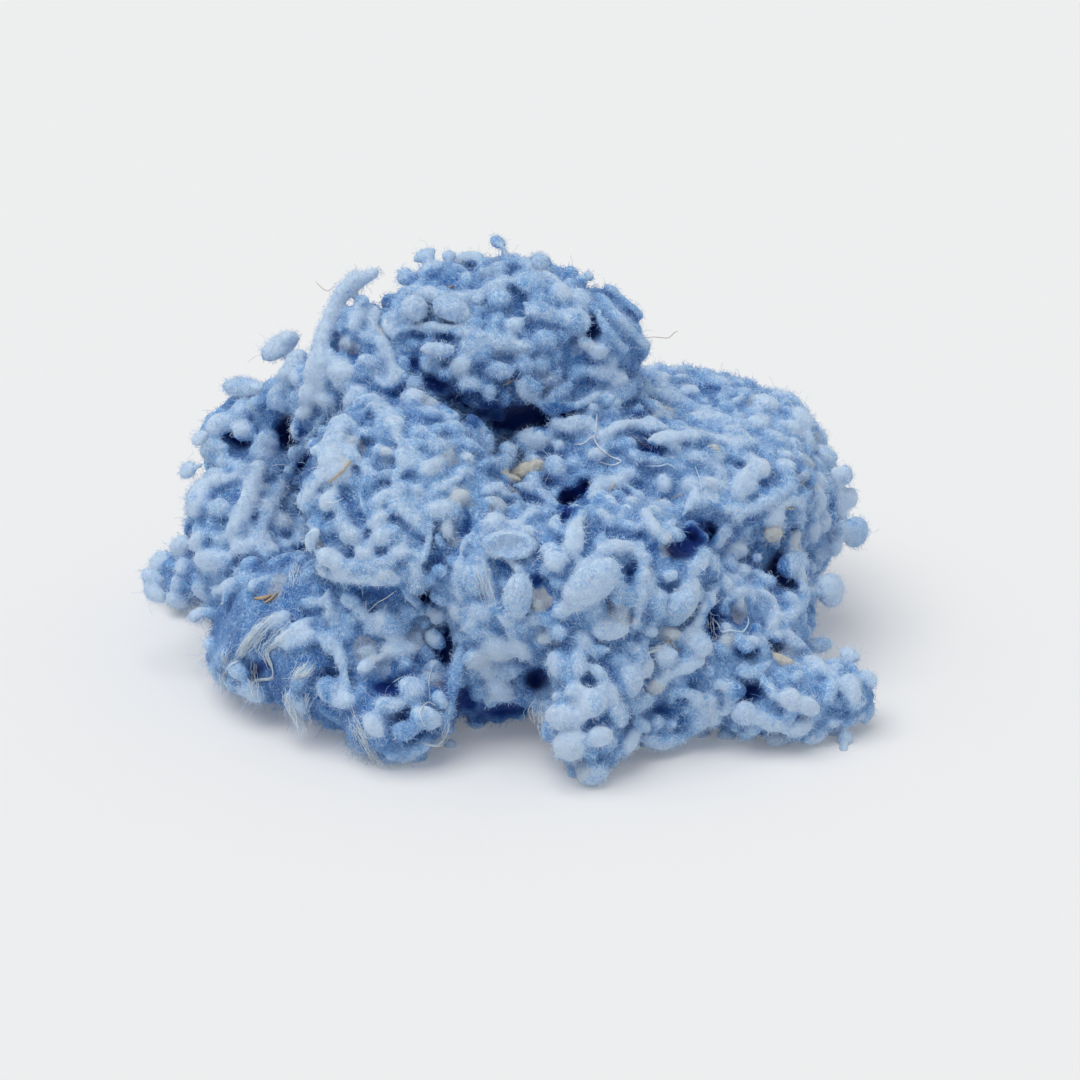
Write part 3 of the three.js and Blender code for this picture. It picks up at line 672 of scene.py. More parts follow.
def store(mesh, name, values):
    attribute = mesh.attributes.get(name) or mesh.attributes.new(name, "FLOAT", "POINT")
    attribute.data.foreach_set("value", np.asarray(values, np.float32))


def shaded_smooth(piece):
    piece.data.polygons.foreach_set("use_smooth", [True] * len(piece.data.polygons))
    return piece


def search_tree(mesh):
    points, faces = parts_of(mesh)
    return BVHTree.FromPolygons([Vector(p) for p in points], faces)


def finder_of(points):
    """Finds the nearest of some points."""
    finder = KDTree(len(points))
    for index, point in enumerate(points):
        finder.insert(point, index)
    finder.balance()
    return finder


def rounded(piece, rounds):
    smooth = piece.modifiers.new("smooth", "SMOOTH")
    smooth.iterations = rounds
    return settled(piece)


def fused(piece, voxel):
    remesh = piece.modifiers.new("fuse", "REMESH")
    remesh.mode = "VOXEL"
    remesh.voxel_size = voxel
    remesh.use_smooth_shade = True
    return settled(piece)


def merged_copy(solid, name):
    """A copy of a CAD node's mesh, with its loose triangles joined."""
    work = bmesh.new()
    work.from_mesh(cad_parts[solid].data)
    bmesh.ops.remove_doubles(work, verts=work.verts, dist=JOIN_DISTANCE)
    mesh = bpy.data.meshes.new(name)
    work.to_mesh(mesh)
    work.free()
    mesh.materials.clear()
    return new_object(name, mesh)


def joined(name, parts):
    """One mesh of many closed shapes, given as points and faces."""
    points, faces, start = [], [], 0
    for shape_points, shape_faces in parts:
        points.append(np.asarray(shape_points))
        faces.extend([tuple(i + start for i in f) for f in shape_faces])
        start += len(shape_points)
    return mesh_from(name, np.vstack(points), faces)


def grown(piece, step, voxel):
    """The piece's surface moved out by step, or in if it is negative, and made even."""
    points = points_of(piece.data) + normals_of(piece.data) * step
    set_points(piece.data, points)
    return fused(piece, voxel)


def largest_island(piece):
    """The piece without the loose bits that growing and shrinking left."""
    work = bmesh.new()
    work.from_mesh(piece.data)
    left = set(work.verts)
    islands = []
    while left:
        island, edge = set(), [left.pop()]
        while edge:
            vertex = edge.pop()
            island.add(vertex)
            for link in vertex.link_edges:
                other = link.other_vert(vertex)
                if other in left:
                    left.discard(other)
                    edge.append(other)
        islands.append(island)
    keep = max(islands, key=len)
    stray = [v for island in islands if island is not keep for v in island]
    bmesh.ops.delete(work, geom=stray, context="VERTS")
    work.to_mesh(piece.data)
    work.free()
    piece.data.update()
    return piece


def heap_skin():
    """One skin round all the clumps, closed over the grooves between them."""
    parts = []
    for clump in CLUMPS:
        copy = merged_copy(clump, "part")
        parts.append(parts_of(copy.data))
        bpy.data.objects.remove(copy)
    skin = fused(new_object("skin", joined("skin", parts)), BASE_VOXEL)
    for _ in range(CLOSING_STEPS):
        skin = grown(skin, SKIN_STEP, BASE_VOXEL)
    for _ in range(CLOSING_STEPS + SKIN_INSET_STEPS):
        skin = grown(skin, -SKIN_STEP, BASE_VOXEL)
    return rounded(largest_island(skin), SKIN_ROUNDS)


def pixels_of(points):
    """Where points show in the photograph, uneven so that no oval's edge is smooth."""
    broad, fine = WOBBLE_WAVES
    uneven = np.array([
        noise.noise_vector(Vector(p) * broad) + noise.noise_vector(Vector(p) * fine) * FINE_WOBBLE
        for p in points
    ]).reshape(-1, 3)
    away = points - np.array(EYE)
    deep = away @ np.array(LOOK)
    x = HALF_PHOTO + away @ np.array(RIGHT) / deep * PIXELS_DEEP
    y = HALF_PHOTO - away @ np.array(UP) / deep * PIXELS_DEEP
    return x + HOLLOW_WOBBLE * uneven[:, 0], y + HOLLOW_WOBBLE * uneven[:, 1]


def oval_share(x, y, at_x, at_y, wide, high):
    """How far inside an oval of the photograph pixels lie: 0 outside, 1 at the middle."""
    return np.clip(1 - ((x - at_x) / wide) ** 2 - ((y - at_y) / high) ** 2, 0, 1)


def fluffy_share(points):
    """How fluffy the photograph shows points."""
    x, y = pixels_of(points)
    return np.max([oval_share(x, y, *oval) for oval in FLUFFY], axis=0)


def hollow_share(points):
    """How far into the photograph's hollows points lie, and how deep those hollows are."""
    x, y = pixels_of(points)
    share = np.zeros(len(points))
    depth = np.zeros(len(points))
    for *oval, down in HOLLOWS:
        inside = oval_share(x, y, *oval)
        depth = np.where(inside > share, down * MM, depth)
        share = np.maximum(share, inside)
    return share, depth


def seen_spots(points, wanted, reach):
    """Which of the wanted points the camera sees on the skin, or within reach of it."""
    spots = []
    for index in np.flatnonzero(wanted):
        way = Vector(points[index]) - EYE
        hit, _, _, far = skin_tree.ray_cast(EYE, way.normalized())
        if hit is not None and abs(way.length - far) < reach:
            spots.append(index)
    return np.array(spots, int)


def matted_wool():
    """The matted wool under the skin: lumpy, and carved where the photograph shows hollows."""
    mat = grown(new_object("mat", skin.data.copy()), -MAT_INSET, BASE_VOXEL)
    points = points_of(mat.data)
    lumps = np.zeros(len(points))
    for wave, height in MAT_LUMPS:
        lumps += [noise.noise(Vector(p) * wave) * height for p in points]
    points += normals_of(mat.data) * lumps[:, None]
    share, depth = hollow_share(points)
    spots = seen_spots(points, share > 0, CARVE_REACH)
    points[spots] += np.outer(np.sqrt(share[spots]) * depth[spots], LOOK)
    set_points(mat.data, points)
    return rounded(fused(mat, BASE_VOXEL), 1)


def share_of(clump, wool, steps):
    """A clump's share of some wool: what lies within reach of its solid."""
    reach = fused(merged_copy(clump, clump + "_base"), BASE_VOXEL)
    for _ in range(steps):
        reach = grown(reach, SKIN_STEP, BASE_VOXEL)
    within = reach.modifiers.new("within", "BOOLEAN")
    within.operation = "INTERSECT"
    within.object = wool
    within.solver = "MANIFOLD"
    return settled(reach)


def ray_of(x, y):
    ray = LOOK + RIGHT * ((x - HALF_PHOTO) / PIXELS_DEEP) + UP * ((HALF_PHOTO - y) / PIXELS_DEEP)
    return ray.normalized()


def seen_at(x, y, trees):
    """Where a pixel of the photograph meets the heap or passes it: point, normal, and if it
    meets it."""
    ray = ray_of(x, y)
    hits = [tree.ray_cast(EYE, ray) for tree in trees]
    hits = [hit for hit in hits if hit[0] is not None]
    if hits:
        point, normal, _, _ = min(hits, key=lambda hit: hit[3])
        return point, normal, True
    passed = []
    for tree in trees:
        guess = EYE + ray * (TARGET - EYE).dot(ray)
        for _ in range(NEAREST_ROUNDS):
            point, _, _, off = tree.find_nearest(guess)
            guess = EYE + ray * (point - EYE).dot(ray)
        passed.append((off, guess, (guess - point).normalized()))
    _, guess, normal = min(passed, key=lambda spot: spot[0])
    return guess, normal, False


def curve_through(points, count):
    """Points spread along a smooth curve through the given ones."""
    given = np.array([tuple(p) for p in points], float)
    ends = np.vstack([2 * given[0] - given[1], given, 2 * given[-1] - given[-2]])
    out = []
    for share in np.linspace(0, len(given) - 1, count):
        i = min(int(share), len(given) - 2)
        t = share - i
        a, b, c, d = ends[i:i + 4]
        out.append(0.5 * (
            2 * b + (c - a) * t + (2 * a - 5 * b + 4 * c - d) * t * t
            + (3 * b - a - 3 * c + d) * t ** 3
        ))
    return np.array(out)


def seen_paths(pixels, trees, step, lift):
    """A path of pixels laid on the heap and raised by lift, parted where the heap falls away
    behind an edge: for each part its points and their normals."""
    length = np.linalg.norm(np.diff(np.array(pixels, float), axis=0), axis=1).sum()
    spots = curve_through(pixels, max(FEWEST_SPOTS, int(length / step)))
    hits = [seen_at(x, y, trees) for x, y in spots]
    far = np.array([(point - EYE).length for point, _, _ in hits])
    real = np.array([meets for _, _, meets in hits])
    if real.any():
        far[~real] = np.interp(np.flatnonzero(~real), np.flatnonzero(real), far[real])
    parts = []
    for part in np.split(np.arange(len(far)), np.flatnonzero(abs(np.diff(far)) > LEAP) + 1):
        if len(part) < LEAST_POINTS:
            continue
        even = far[part].copy()
        for _ in range(EVEN_ROUNDS):
            even[1:-1] = (even[:-2] + 2 * even[1:-1] + even[2:]) / 4
            even = np.minimum(even, far[part])
        points = [EYE + ray_of(*spots[i]) * (e - lift) for i, e in zip(part, even)]
        parts.append((points, [hits[i][1] for i in part]))
    return parts


def ball_shape(rounds):
    work = bmesh.new()
    bmesh.ops.create_icosphere(work, subdivisions=rounds, radius=1)
    points = np.array([v.co[:] for v in work.verts])
    faces = [[v.index for v in f.verts] for f in work.faces]
    work.free()
    return points, faces


def rings_round(path, lift, wide, thick, sides):
    """Rings of points round a path, each as wide across lift and as thick along it as given."""
    along = np.gradient(path, axis=0)
    along /= np.linalg.norm(along, axis=1)[:, None]
    lift = lift - along * (lift * along).sum(1)[:, None]
    lift /= np.linalg.norm(lift, axis=1)[:, None] + TINY
    across = np.cross(along, lift)
    turn = np.arange(sides) * 2 * math.pi / sides
    rings = (
        path[:, None, :]
        + across[:, None, :] * (np.cos(turn)[None, :, None] * wide[:, None, None])
        + lift[:, None, :] * (np.sin(turn)[None, :, None] * thick[:, None, None])
    )
    return rings.reshape(-1, 3)


def ring_faces(count, sides):
    """The faces between as many rings, one after the other."""
    faces = []
    for ring in range(count - 1):
        for side in range(sides):
            a, b = ring * sides + side, ring * sides + (side + 1) % sides
            faces.append((a, b, b + sides, a + sides))
    return faces


def lock_shape(points, wide, thick, up, sides):
    """A closed lock with rounded ends that follows points, wide across and thick along up."""
    path = np.array([tuple(p) for p in points])
    share = np.linspace(0, 1, len(path))
    end = np.sqrt(np.clip(1 - (2 * np.abs(share - 0.5)) ** 4, LEAST_END, 1))
    (broad, much), (fine, little) = LOCK_SWELLS
    swell = [noise.noise(Vector(p) * broad) * much + noise.noise(Vector(p) * fine) * little
             for p in path]
    end = end * (1 + np.array(swell))
    lift = np.array([tuple(u) for u in up])
    body = rings_round(path, lift, wide * end, thick * end, sides)
    faces = ring_faces(len(path), sides)
    first, last = len(body), len(body) + 1
    start = len(body) - sides
    for side in range(sides):
        after = (side + 1) % sides
        faces.append((first, after, side))
        faces.append((last, start + side, start + after))
    return np.vstack([body, path[0], path[-1]]), faces


def thread_shape(path, width, sides):
    """A closed fibre of even width along path, thinner at its ends."""
    share = np.linspace(0, 1, len(path))
    thick = width / 2 * (1 - THREAD_TAPER * (2 * np.abs(share - 0.5)) ** 3)
    lift = np.tile(THREAD_UP, (len(path), 1))
    points = rings_round(path, lift, thick, thick, sides)
    # The corners are taken the other way round, so that the faces point outwards.
    faces = [(face[0], *face[:0:-1]) for face in ring_faces(len(path), sides)]
    last = range(len(points) - sides, len(points))
    return points, [tuple(range(sides)), *faces, tuple(last)[::-1]]


def seen_nepp(x, y, long, wide, turn):
    """One nepp of the photograph: the points of its shape, and its middle."""
    point, normal, real = seen_at(x, y, [skin_tree])
    scale = (point - EYE).dot(LOOK) / PIXELS_DEEP
    angle = math.radians(turn)
    picture = RIGHT * math.cos(angle) - UP * math.sin(angle)
    facing = normal.dot(-LOOK)
    if not real:
        normal = (normal - LOOK * EDGE_LEAN).normalized()
    elif facing < LEAST_FACING:
        normal = (normal - LOOK * (LEAST_FACING - facing)).normalized()
    along = picture - normal * picture.dot(normal)
    stretch = min(MOST_STRETCH, 1 / max(along.length, TINY))
    along.normalize()
    across = normal.cross(along)
    widen = min(MOST_WIDENING, 1 / max(abs(across.dot(picture.cross(LOOK))), TINY))
    radii = (long / 2 * scale * stretch, wide / 2 * scale * widen,
             wide / 2 * scale * NEPP_THICKNESS)
    centre = point + normal * radii[2] * (NEPP_STANDING if real else 0.0)
    shape = BALL[0].copy()
    shape[:, 1] *= 1 - NEPP_TAPER * shape[:, 0]
    points = np.array(centre)[None]
    for axis, way in enumerate((along, across, normal)):
        points = points + np.outer(shape[:, axis] * radii[axis], way)
    return points, centre


def node(tree, kind, inputs=None, **settings):
    """A node of a tree, with its settings, and its inputs linked or filled."""
    made = tree.nodes.new(kind)
    for key, value in settings.items():
        setattr(made, key, value)
    for key, value in (inputs or {}).items():
        socket = made.inputs[key]
        if isinstance(value, bpy.types.NodeSocket):
            tree.links.new(value, socket)
        else:
            socket.default_value = value
    return made


def maths(tree, operation, *values, **settings):
    made = node(tree, "ShaderNodeMath", dict(enumerate(values)), operation=operation, **settings)
    return made.outputs[0]


def vectors(tree, operation, first, second):
    """What a Vector Math node gives for two vectors, or for a vector and its scale."""
    other = "Scale" if operation == "SCALE" else 1
    made = node(tree, "ShaderNodeVectorMath", {0: first, other: second}, operation=operation)
    return made.outputs["Value" if operation == "DOT_PRODUCT" else "Vector"]


def random_value(group, low, high, seed, kind="FLOAT"):
    """What a Random Value node gives. Its sockets differ from kind to kind."""
    lowest, highest, out = {"FLOAT_VECTOR": (0, 1, 0), "FLOAT": (2, 3, 1), "INT": (4, 5, 2)}[kind]
    made = node(group, "FunctionNodeRandomValue", {lowest: low, highest: high, "Seed": seed},
                data_type=kind)
    return made.outputs[out]


def group_with(name, inputs):
    """A Geometry Nodes tree with named inputs, and what its inputs give."""
    kinds = {"Seed": "Int", "Where": "String", "Seen nepps": "Object", "Wool": "Material"}
    group = bpy.data.node_groups.new(name, "GeometryNodeTree")
    group.interface.new_socket("Geometry", in_out="INPUT", socket_type="NodeSocketGeometry")
    for label, value in inputs.items():
        socket = group.interface.new_socket(
            label, in_out="INPUT", socket_type="NodeSocket" + kinds.get(label, "Float"))
        if value is not None:
            socket.default_value = value
    group.interface.new_socket("Geometry", in_out="OUTPUT", socket_type="NodeSocketGeometry")
    return group, group.nodes.new("NodeGroupInput").outputs


def with_tree(name, mesh, group, inputs):
    """A piece with what a Geometry Nodes tree makes of a copy of mesh."""
    piece = new_object(name, mesh.copy())
    modifier = piece.modifiers.new(group.name, "NODES")
    modifier.node_group = group
    for item in group.interface.items_tree:
        if item.item_type == "SOCKET" and item.in_out == "INPUT" and item.name in inputs:
            modifier[item.identifier] = inputs[item.name]
    return settled(piece)


def instances_on(group, points, shapes, rotation, size):
    """One of the shapes, picked at random, on each point."""
    source = bpy.data.collections.new(group.name + " shapes")
    for shape in shapes:
        source.objects.link(shape)
    kinds = node(group, "GeometryNodeCollectionInfo", {
        "Collection": source, "Separate Children": True, "Reset Children": True})
    return node(group, "GeometryNodeInstanceOnPoints", {
        "Points": points, "Instance": kinds.outputs["Instances"], "Pick Instance": True,
        "Instance Index": random_value(group, 0, len(shapes) - 1, SEEDS["pick"], "INT"),
        "Rotation": rotation, "Scale": size,
    }).outputs[0]


def end_group(group, instances, label, value, kind, wool):
    """Ends a tree: each instance is marked with a value, made real, and given its wool."""
    marked = node(group, "GeometryNodeStoreNamedAttribute", {
        "Geometry": instances, "Name": label, "Value": value,
    }, data_type=kind, domain="INSTANCE")
    real = node(group, "GeometryNodeRealizeInstances", {"Geometry": marked.outputs[0]})
    dressed = node(group, "GeometryNodeSetMaterial", {
        "Geometry": real.outputs[0], "Material": wool})
    node(group, "NodeGroupOutput", {"Geometry": dressed.outputs[0]})
    return group


def strewn_tree(name, shapes):
    """Nepps strewn over the skin, clear of those that the photograph shows."""
    group, given = group_with(name, {**LARGE_NEPPS, "Seen nepps": None, "Wool": None})
    spots = node(group, "GeometryNodeDistributePointsOnFaces", {
        "Mesh": given["Geometry"], "Distance Min": given["Spacing"],
        "Density Max": STREWN_DENSITY, "Seed": given["Seed"],
    }, distribute_method="POISSON")
    seen = node(group, "GeometryNodeObjectInfo", {"Object": given["Seen nepps"]})
    near = node(group, "GeometryNodeProximity", {"Geometry": seen.outputs["Geometry"]})
    crowded = node(group, "FunctionNodeCompare", {
        "A": near.outputs["Distance"], "B": given["Clear of seen nepps"],
    }, operation="LESS_THAN")
    free = node(group, "GeometryNodeDeleteGeometry", {
        "Geometry": spots.outputs["Points"], "Selection": crowded.outputs["Result"]})
    size = random_value(group, given["Smallest"], given["Largest"], given["Seed"])
    spin = node(group, "ShaderNodeCombineXYZ", {
        "Z": random_value(group, 0.0, 2 * math.pi, SEEDS["spin"])})
    turned = node(group, "FunctionNodeEulerToRotation", {"Euler": spin.outputs[0]})
    rotation = node(group, "FunctionNodeRotateRotation", {
        "Rotation": spots.outputs["Rotation"], "Rotate By": turned.outputs[0],
    }, rotation_space="LOCAL")
    placed = instances_on(group, free.outputs[0], shapes, rotation.outputs[0], size)
    sinking = random_value(group, *HIGH_AND_LOW, SEEDS["sink"])
    depth = node(group, "ShaderNodeCombineXYZ", {
        "Z": maths(group, "MULTIPLY", given["Sunk"], sinking)})
    sunk = node(group, "GeometryNodeTranslateInstances", {
        "Instances": placed, "Translation": depth.outputs[0], "Local Space": True})
    number = node(group, "GeometryNodeInputIndex").outputs[0]
    return end_group(group, sunk.outputs[0], "nepp", number, "INT", given["Wool"])


def fuzz_tree(name, shapes):
    """Fibres over wool, as many as an attribute of it says, each with a tone of its own."""
    group, given = group_with(name, {**FUZZ[name], "Seed": 0, "Wool": None})
    where = node(group, "GeometryNodeInputNamedAttribute", {"Name": given["Where"]},
                 data_type="FLOAT")
    roots = node(group, "GeometryNodeDistributePointsOnFaces", {
        "Mesh": given["Geometry"], "Seed": given["Seed"],
        "Density": maths(group, "MULTIPLY", where.outputs["Attribute"],
                         given["Fibres per square metre"]),
    }, distribute_method="RANDOM")
    normal = roots.outputs["Normal"]
    wander = random_value(group, (-1, -1, -1), (1, 1, 1), SEEDS["wander"], "FLOAT_VECTOR")
    down = node(group, "ShaderNodeCombineXYZ", {
        "Z": maths(group, "MULTIPLY", given["Droop"], -1.0)})
    pull = vectors(group, "ADD", wander, down.outputs[0])
    inward = vectors(group, "DOT_PRODUCT", pull, normal)
    rise = maths(group, "SUBTRACT", given["Stand"], inward)
    way = vectors(group, "ADD", pull, vectors(group, "SCALE", normal, rise))
    rotation = node(group, "FunctionNodeAlignRotationToVector", {"Vector": way}, axis="Z")
    long = random_value(group, given["Shortest"], given["Longest"], SEEDS["length"])
    placed = instances_on(group, roots.outputs["Points"], shapes, rotation.outputs[0], long)
    tone = random_value(group, 0.0, 1.0, SEEDS["tone"])
    return end_group(group, placed, "tone", tone, "FLOAT", given["Wool"])


def nepp_shape(name, long, wide, high, bend, taper):
    """A source shape for strewn nepps, about one unit in radius."""
    points, faces = ball_shape(STREWN_BALL_ROUNDS)
    thin = 1 - taper * points[:, 0]
    points[:, 1] = points[:, 1] * wide * thin + bend * points[:, 0] ** 2
    points[:, 2] *= high * thin
    points[:, 0] *= long
    return bpy.data.objects.new(name, mesh_from(name, points, faces))


def fibre_shape(name, bends, thick, wander, seed):
    """A source shape for fibres: a thin closed spindle, one unit long, that bends."""
    draws = random.Random(seed)
    turns = [2 * math.pi * i / FIBRE_SIDES for i in range(FIBRE_SIDES)]
    points, x, y = [(0, 0, -FIBRE_ROOT)], 0.0, 0.0
    for ring in range(bends):
        x += draws.uniform(-wander, wander)
        y += draws.uniform(-wander, wander)
        points += [(x + thick * math.cos(t), y + thick * math.sin(t), (ring + 1) / (bends + 1))
                   for t in turns]
    x += draws.uniform(-wander, wander)
    y += draws.uniform(-wander, wander)
    tip = len(points)
    points.append((x, y, 1.0))
    around = [(side, (side + 1) % FIBRE_SIDES) for side in range(FIBRE_SIDES)]
    faces = [(0, 1 + b, 1 + a) for a, b in around]
    faces += [tuple(corner + 1 for corner in face) for face in ring_faces(bends, FIBRE_SIDES)]
    faces += [(tip - FIBRE_SIDES + a, tip - FIBRE_SIDES + b, tip) for a, b in around]
    return bpy.data.objects.new(name, mesh_from(name, points, faces))


def new_material(name):
    material = bpy.data.materials.new(name)
    material.use_nodes = True
    material.node_tree.nodes.clear()
    return material


def end_material(material, settings):
    shader = node(material.node_tree, "ShaderNodeBsdfPrincipled", settings)
    node(material.node_tree, "ShaderNodeOutputMaterial", {"Surface": shader.outputs[0]})
    return material


def place_in(tree):
    return node(tree, "ShaderNodeTexCoord").outputs["Object"]


def stored(tree, name):
    return node(tree, "ShaderNodeAttribute", attribute_name=name).outputs["Fac"]


def mixed(tree, factor, first, second):
    return node(tree, "ShaderNodeMix", {"Factor": factor, "A": first, "B": second},
                data_type="RGBA").outputs["Result"]


def swing(tree, value, share, middle=0.5):
    """A value's swing about its middle, multiplied by share."""
    return maths(tree, "MULTIPLY_ADD", value, share, -middle * share)


def ramp_of(tree, value):
    """The wool's colour: navy in the hollows as painted shade, pale where it stands proud as
    painted light.
    """
    level = node(tree, "ShaderNodeMapRange", {
        "Value": value, "From Min": -1.0, "From Max": 1.0})
    ramp = node(tree, "ShaderNodeValToRGB", {"Fac": level.outputs[0]})
    stops = ramp.color_ramp.elements
    lowest, *between, highest = WOOL_RAMP
    for stop, (position, colour) in zip(stops, (lowest, highest)):
        stop.position = position
        stop.color = (*colour, 1)
    for position, colour in between:
        stops.new(position).color = (*colour, 1)
    return ramp.outputs["Color"]


def wool_material(name):
    """Felted wool: navy in the hollows as painted shade, paler where it stands proud as painted
    light, mottled, with fine crossing fibres.
    """
    material = new_material(name)
    tree = material.node_tree
    place = place_in(tree)
    proud = stored(tree, "proud")
    cloud = node(tree, "ShaderNodeTexNoise", {
        "Vector": place, "Scale": 130.0, "Detail": 3.0, "Roughness": 0.6})
    fleck = node(tree, "ShaderNodeTexNoise", {
        "Vector": place, "Scale": 700.0, "Detail": 4.0, "Roughness": 0.65,
        "Distortion": 1.2}).outputs["Fac"]
    swirl = node(tree, "ShaderNodeTexNoise", {
        "Vector": place, "Scale": 260.0, "Detail": 2.0})
    bent = vectors(tree, "SCALE", swirl.outputs["Color"], STREAK_BEND)
    flow = vectors(tree, "ADD", place, bent)
    streaks = []
    for turn, stretch in STREAKS:
        along = node(tree, "ShaderNodeMapping", {
            "Vector": flow, "Rotation": turn, "Scale": stretch})
        streaks.append(node(tree, "ShaderNodeTexNoise", {
            "Vector": along.outputs[0], "Scale": 1.0, "Detail": 2.0,
            "Roughness": 0.55}).outputs["Fac"])
    fibres = maths(tree, "MAXIMUM", maths(tree, "MAXIMUM", *streaks[:2]), streaks[2])
    raised = maths(tree, "ADD", proud, swing(tree, cloud.outputs["Fac"], CLOUD_SHARE))
    own = maths(tree, "MULTIPLY_ADD", stored(tree, "shade"), SHADE_SHARE, raised)
    spotted = maths(tree, "ADD", own, swing(tree, fleck, FLECK_SHARE))
    level = maths(tree, "ADD", spotted, swing(tree, fibres, STREAK_SHARE, STREAK_MIDDLE))
    streak = node(tree, "ShaderNodeMapRange", {
        "Value": fibres, "From Min": 0.56, "From Max": 0.74,
        "To Min": 0.0, "To Max": 0.65})
    combed = mixed(tree, streak.outputs[0], ramp_of(tree, level), (*COMBED_BLUE, 1))
    deep = node(tree, "ShaderNodeMapRange", {
        "Value": proud, "From Min": -0.6, "From Max": 0.2})
    airy = mixed(tree, deep.outputs[0], ramp_of(tree, proud), combed)
    height = maths(tree, "MULTIPLY_ADD", fibres, STREAK_HEIGHT, fleck)
    bump = node(tree, "ShaderNodeBump", {
        "Height": height, "Strength": 0.7, "Distance": 0.4 * MM})
    return end_material(material, {
        "Base Color": mixed(tree, stored(tree, "undyed"), airy, (*CREAM, 1)),
        "Normal": bump.outputs[0], "Roughness": 0.92, "Specular IOR Level": 0.12,
        "Sheen Weight": 0.22, "Sheen Roughness": 0.5, "Sheen Tint": (0.70, 0.84, 1.0, 1.0),
        "Subsurface Weight": 0.35, "Subsurface Radius": (0.4, 0.7, 1.1),
        "Subsurface Scale": 1.6 * MM,
    })


def fibre_material(name):
    """Fibres: the colour of the wool that they stand on, with its painted shade and light, and
    paler by their own tone only where the wool stands proud.
    """
    material = new_material(name)
    tree = material.node_tree
    proud = stored(tree, "proud")
    raised = maths(tree, "MULTIPLY_ADD", stored(tree, "shade"), FIBRE_SHADE_SHARE, proud)
    # Fibres in the painted shade of the hollows get none of their paler tone.
    free = maths(tree, "MULTIPLY_ADD", proud, 1.3, -0.1, use_clamp=True)
    paler = maths(tree, "MULTIPLY", stored(tree, "tone"), free)
    own = mixed(tree, paler, ramp_of(tree, raised), (*FIBRE_BLUE, 1))
    return end_material(material, {
        "Base Color": mixed(tree, stored(tree, "undyed"), own, (*CREAM, 1)),
        "Roughness": 0.7, "Specular IOR Level": 0.2, "Sheen Weight": 0.2,
        "Sheen Roughness": 0.5,
    })


def plain_material(name, colour):
    """A stray hair's or a straw's own colour, a little uneven along it."""
    material = new_material(name)
    tree = material.node_tree
    cloud = node(tree, "ShaderNodeTexNoise", {
        "Vector": place_in(tree), "Scale": 500.0, "Detail": 2.0})
    darker = (*[c * 0.75 for c in colour], 1)
    lighter = (*[min(1, c * 1.2) for c in colour], 1)
    return end_material(material, {
        "Base Color": mixed(tree, cloud.outputs["Fac"], darker, lighter),
        "Roughness": 0.6, "Specular IOR Level": 0.3,
    })


def felt_noise(mesh, seed, broad, fine):
    """Small unevenness of felt, pushed into the mesh itself. Heights are in millimetres."""
    points = points_of(mesh)
    normals = normals_of(mesh)
    shift = Vector([seed * along for along in FELT_SHIFT])
    push = np.array([
        noise.noise(Vector(p) * FELT_WAVES[0] + shift) * broad
        + noise.noise(Vector(p) * FELT_WAVES[1] + shift) * fine
        for p in points
    ]) * MM
    set_points(mesh, points + normals * push[:, None])


def nearest_clump(point):
    """The clump whose solid is nearest."""
    return corner_clumps[clump_finder.find(point)[1]]


def most_named(names):
    return max(sorted(set(names)), key=names.count)


def strew_over_skin(sizes):
    """Strews nepps over the skin and gives each to the clump that it lies on."""
    every = [shape for clump in CLUMPS for shape in placed[clump]]
    seen = new_object("seen", joined("seen", every))
    cover = with_tree("strewn", skin.data, strewn_nepps,
                      {**sizes, "Seen nepps": seen, "Wool": BLUE_WOOL})
    points, polygons = parts_of(cover.data)
    number = np.empty(len(points), np.int32)
    cover.data.attributes["nepp"].data.foreach_get("value", number)
    count = np.maximum(np.bincount(number), 1)
    middles = np.stack([np.bincount(number, points[:, axis]) / count for axis in range(3)],
                       axis=1)
    hidden = middles[:, 2] < STREWN_FROM
    hollow, _ = hollow_share(middles)
    hidden[seen_spots(middles, hollow > HOLLOW_LEFT_BARE, STREWN_REACH)] = True
    fluffy = fluffy_share(middles)
    hidden[seen_spots(middles, fluffy > FLUFF_LEFT_BARE, STREWN_REACH)] = True
    owners = [None if bare else nearest_clump(m) for m, bare in zip(middles, hidden)]
    faces_of = {clump: [] for clump in CLUMPS}
    for corners in polygons:
        owner = owners[number[corners[0]]]
        if owner:
            faces_of[owner].append(corners)
    draws = random.Random(SEEDS["strewn nepps"])
    chance_of_cream, cream = STRAY_CREAM
    for middle, owner in zip(middles, owners):
        shade, chance = draws.uniform(-1, 1), draws.random()
        if owner:
            undyed = cream if chance < chance_of_cream else 0.0
            tints[owner].append((Vector(middle), shade, undyed))
    for clump, faces in faces_of.items():
        if faces:
            used, flat = np.unique([i for f in faces for i in f], return_inverse=True)
            ends = np.cumsum([len(f) for f in faces])[:-1]
            placed[clump].append((points[used], [tuple(f) for f in np.split(flat, ends)]))
    bpy.data.objects.remove(seen)
    bpy.data.objects.remove(cover)


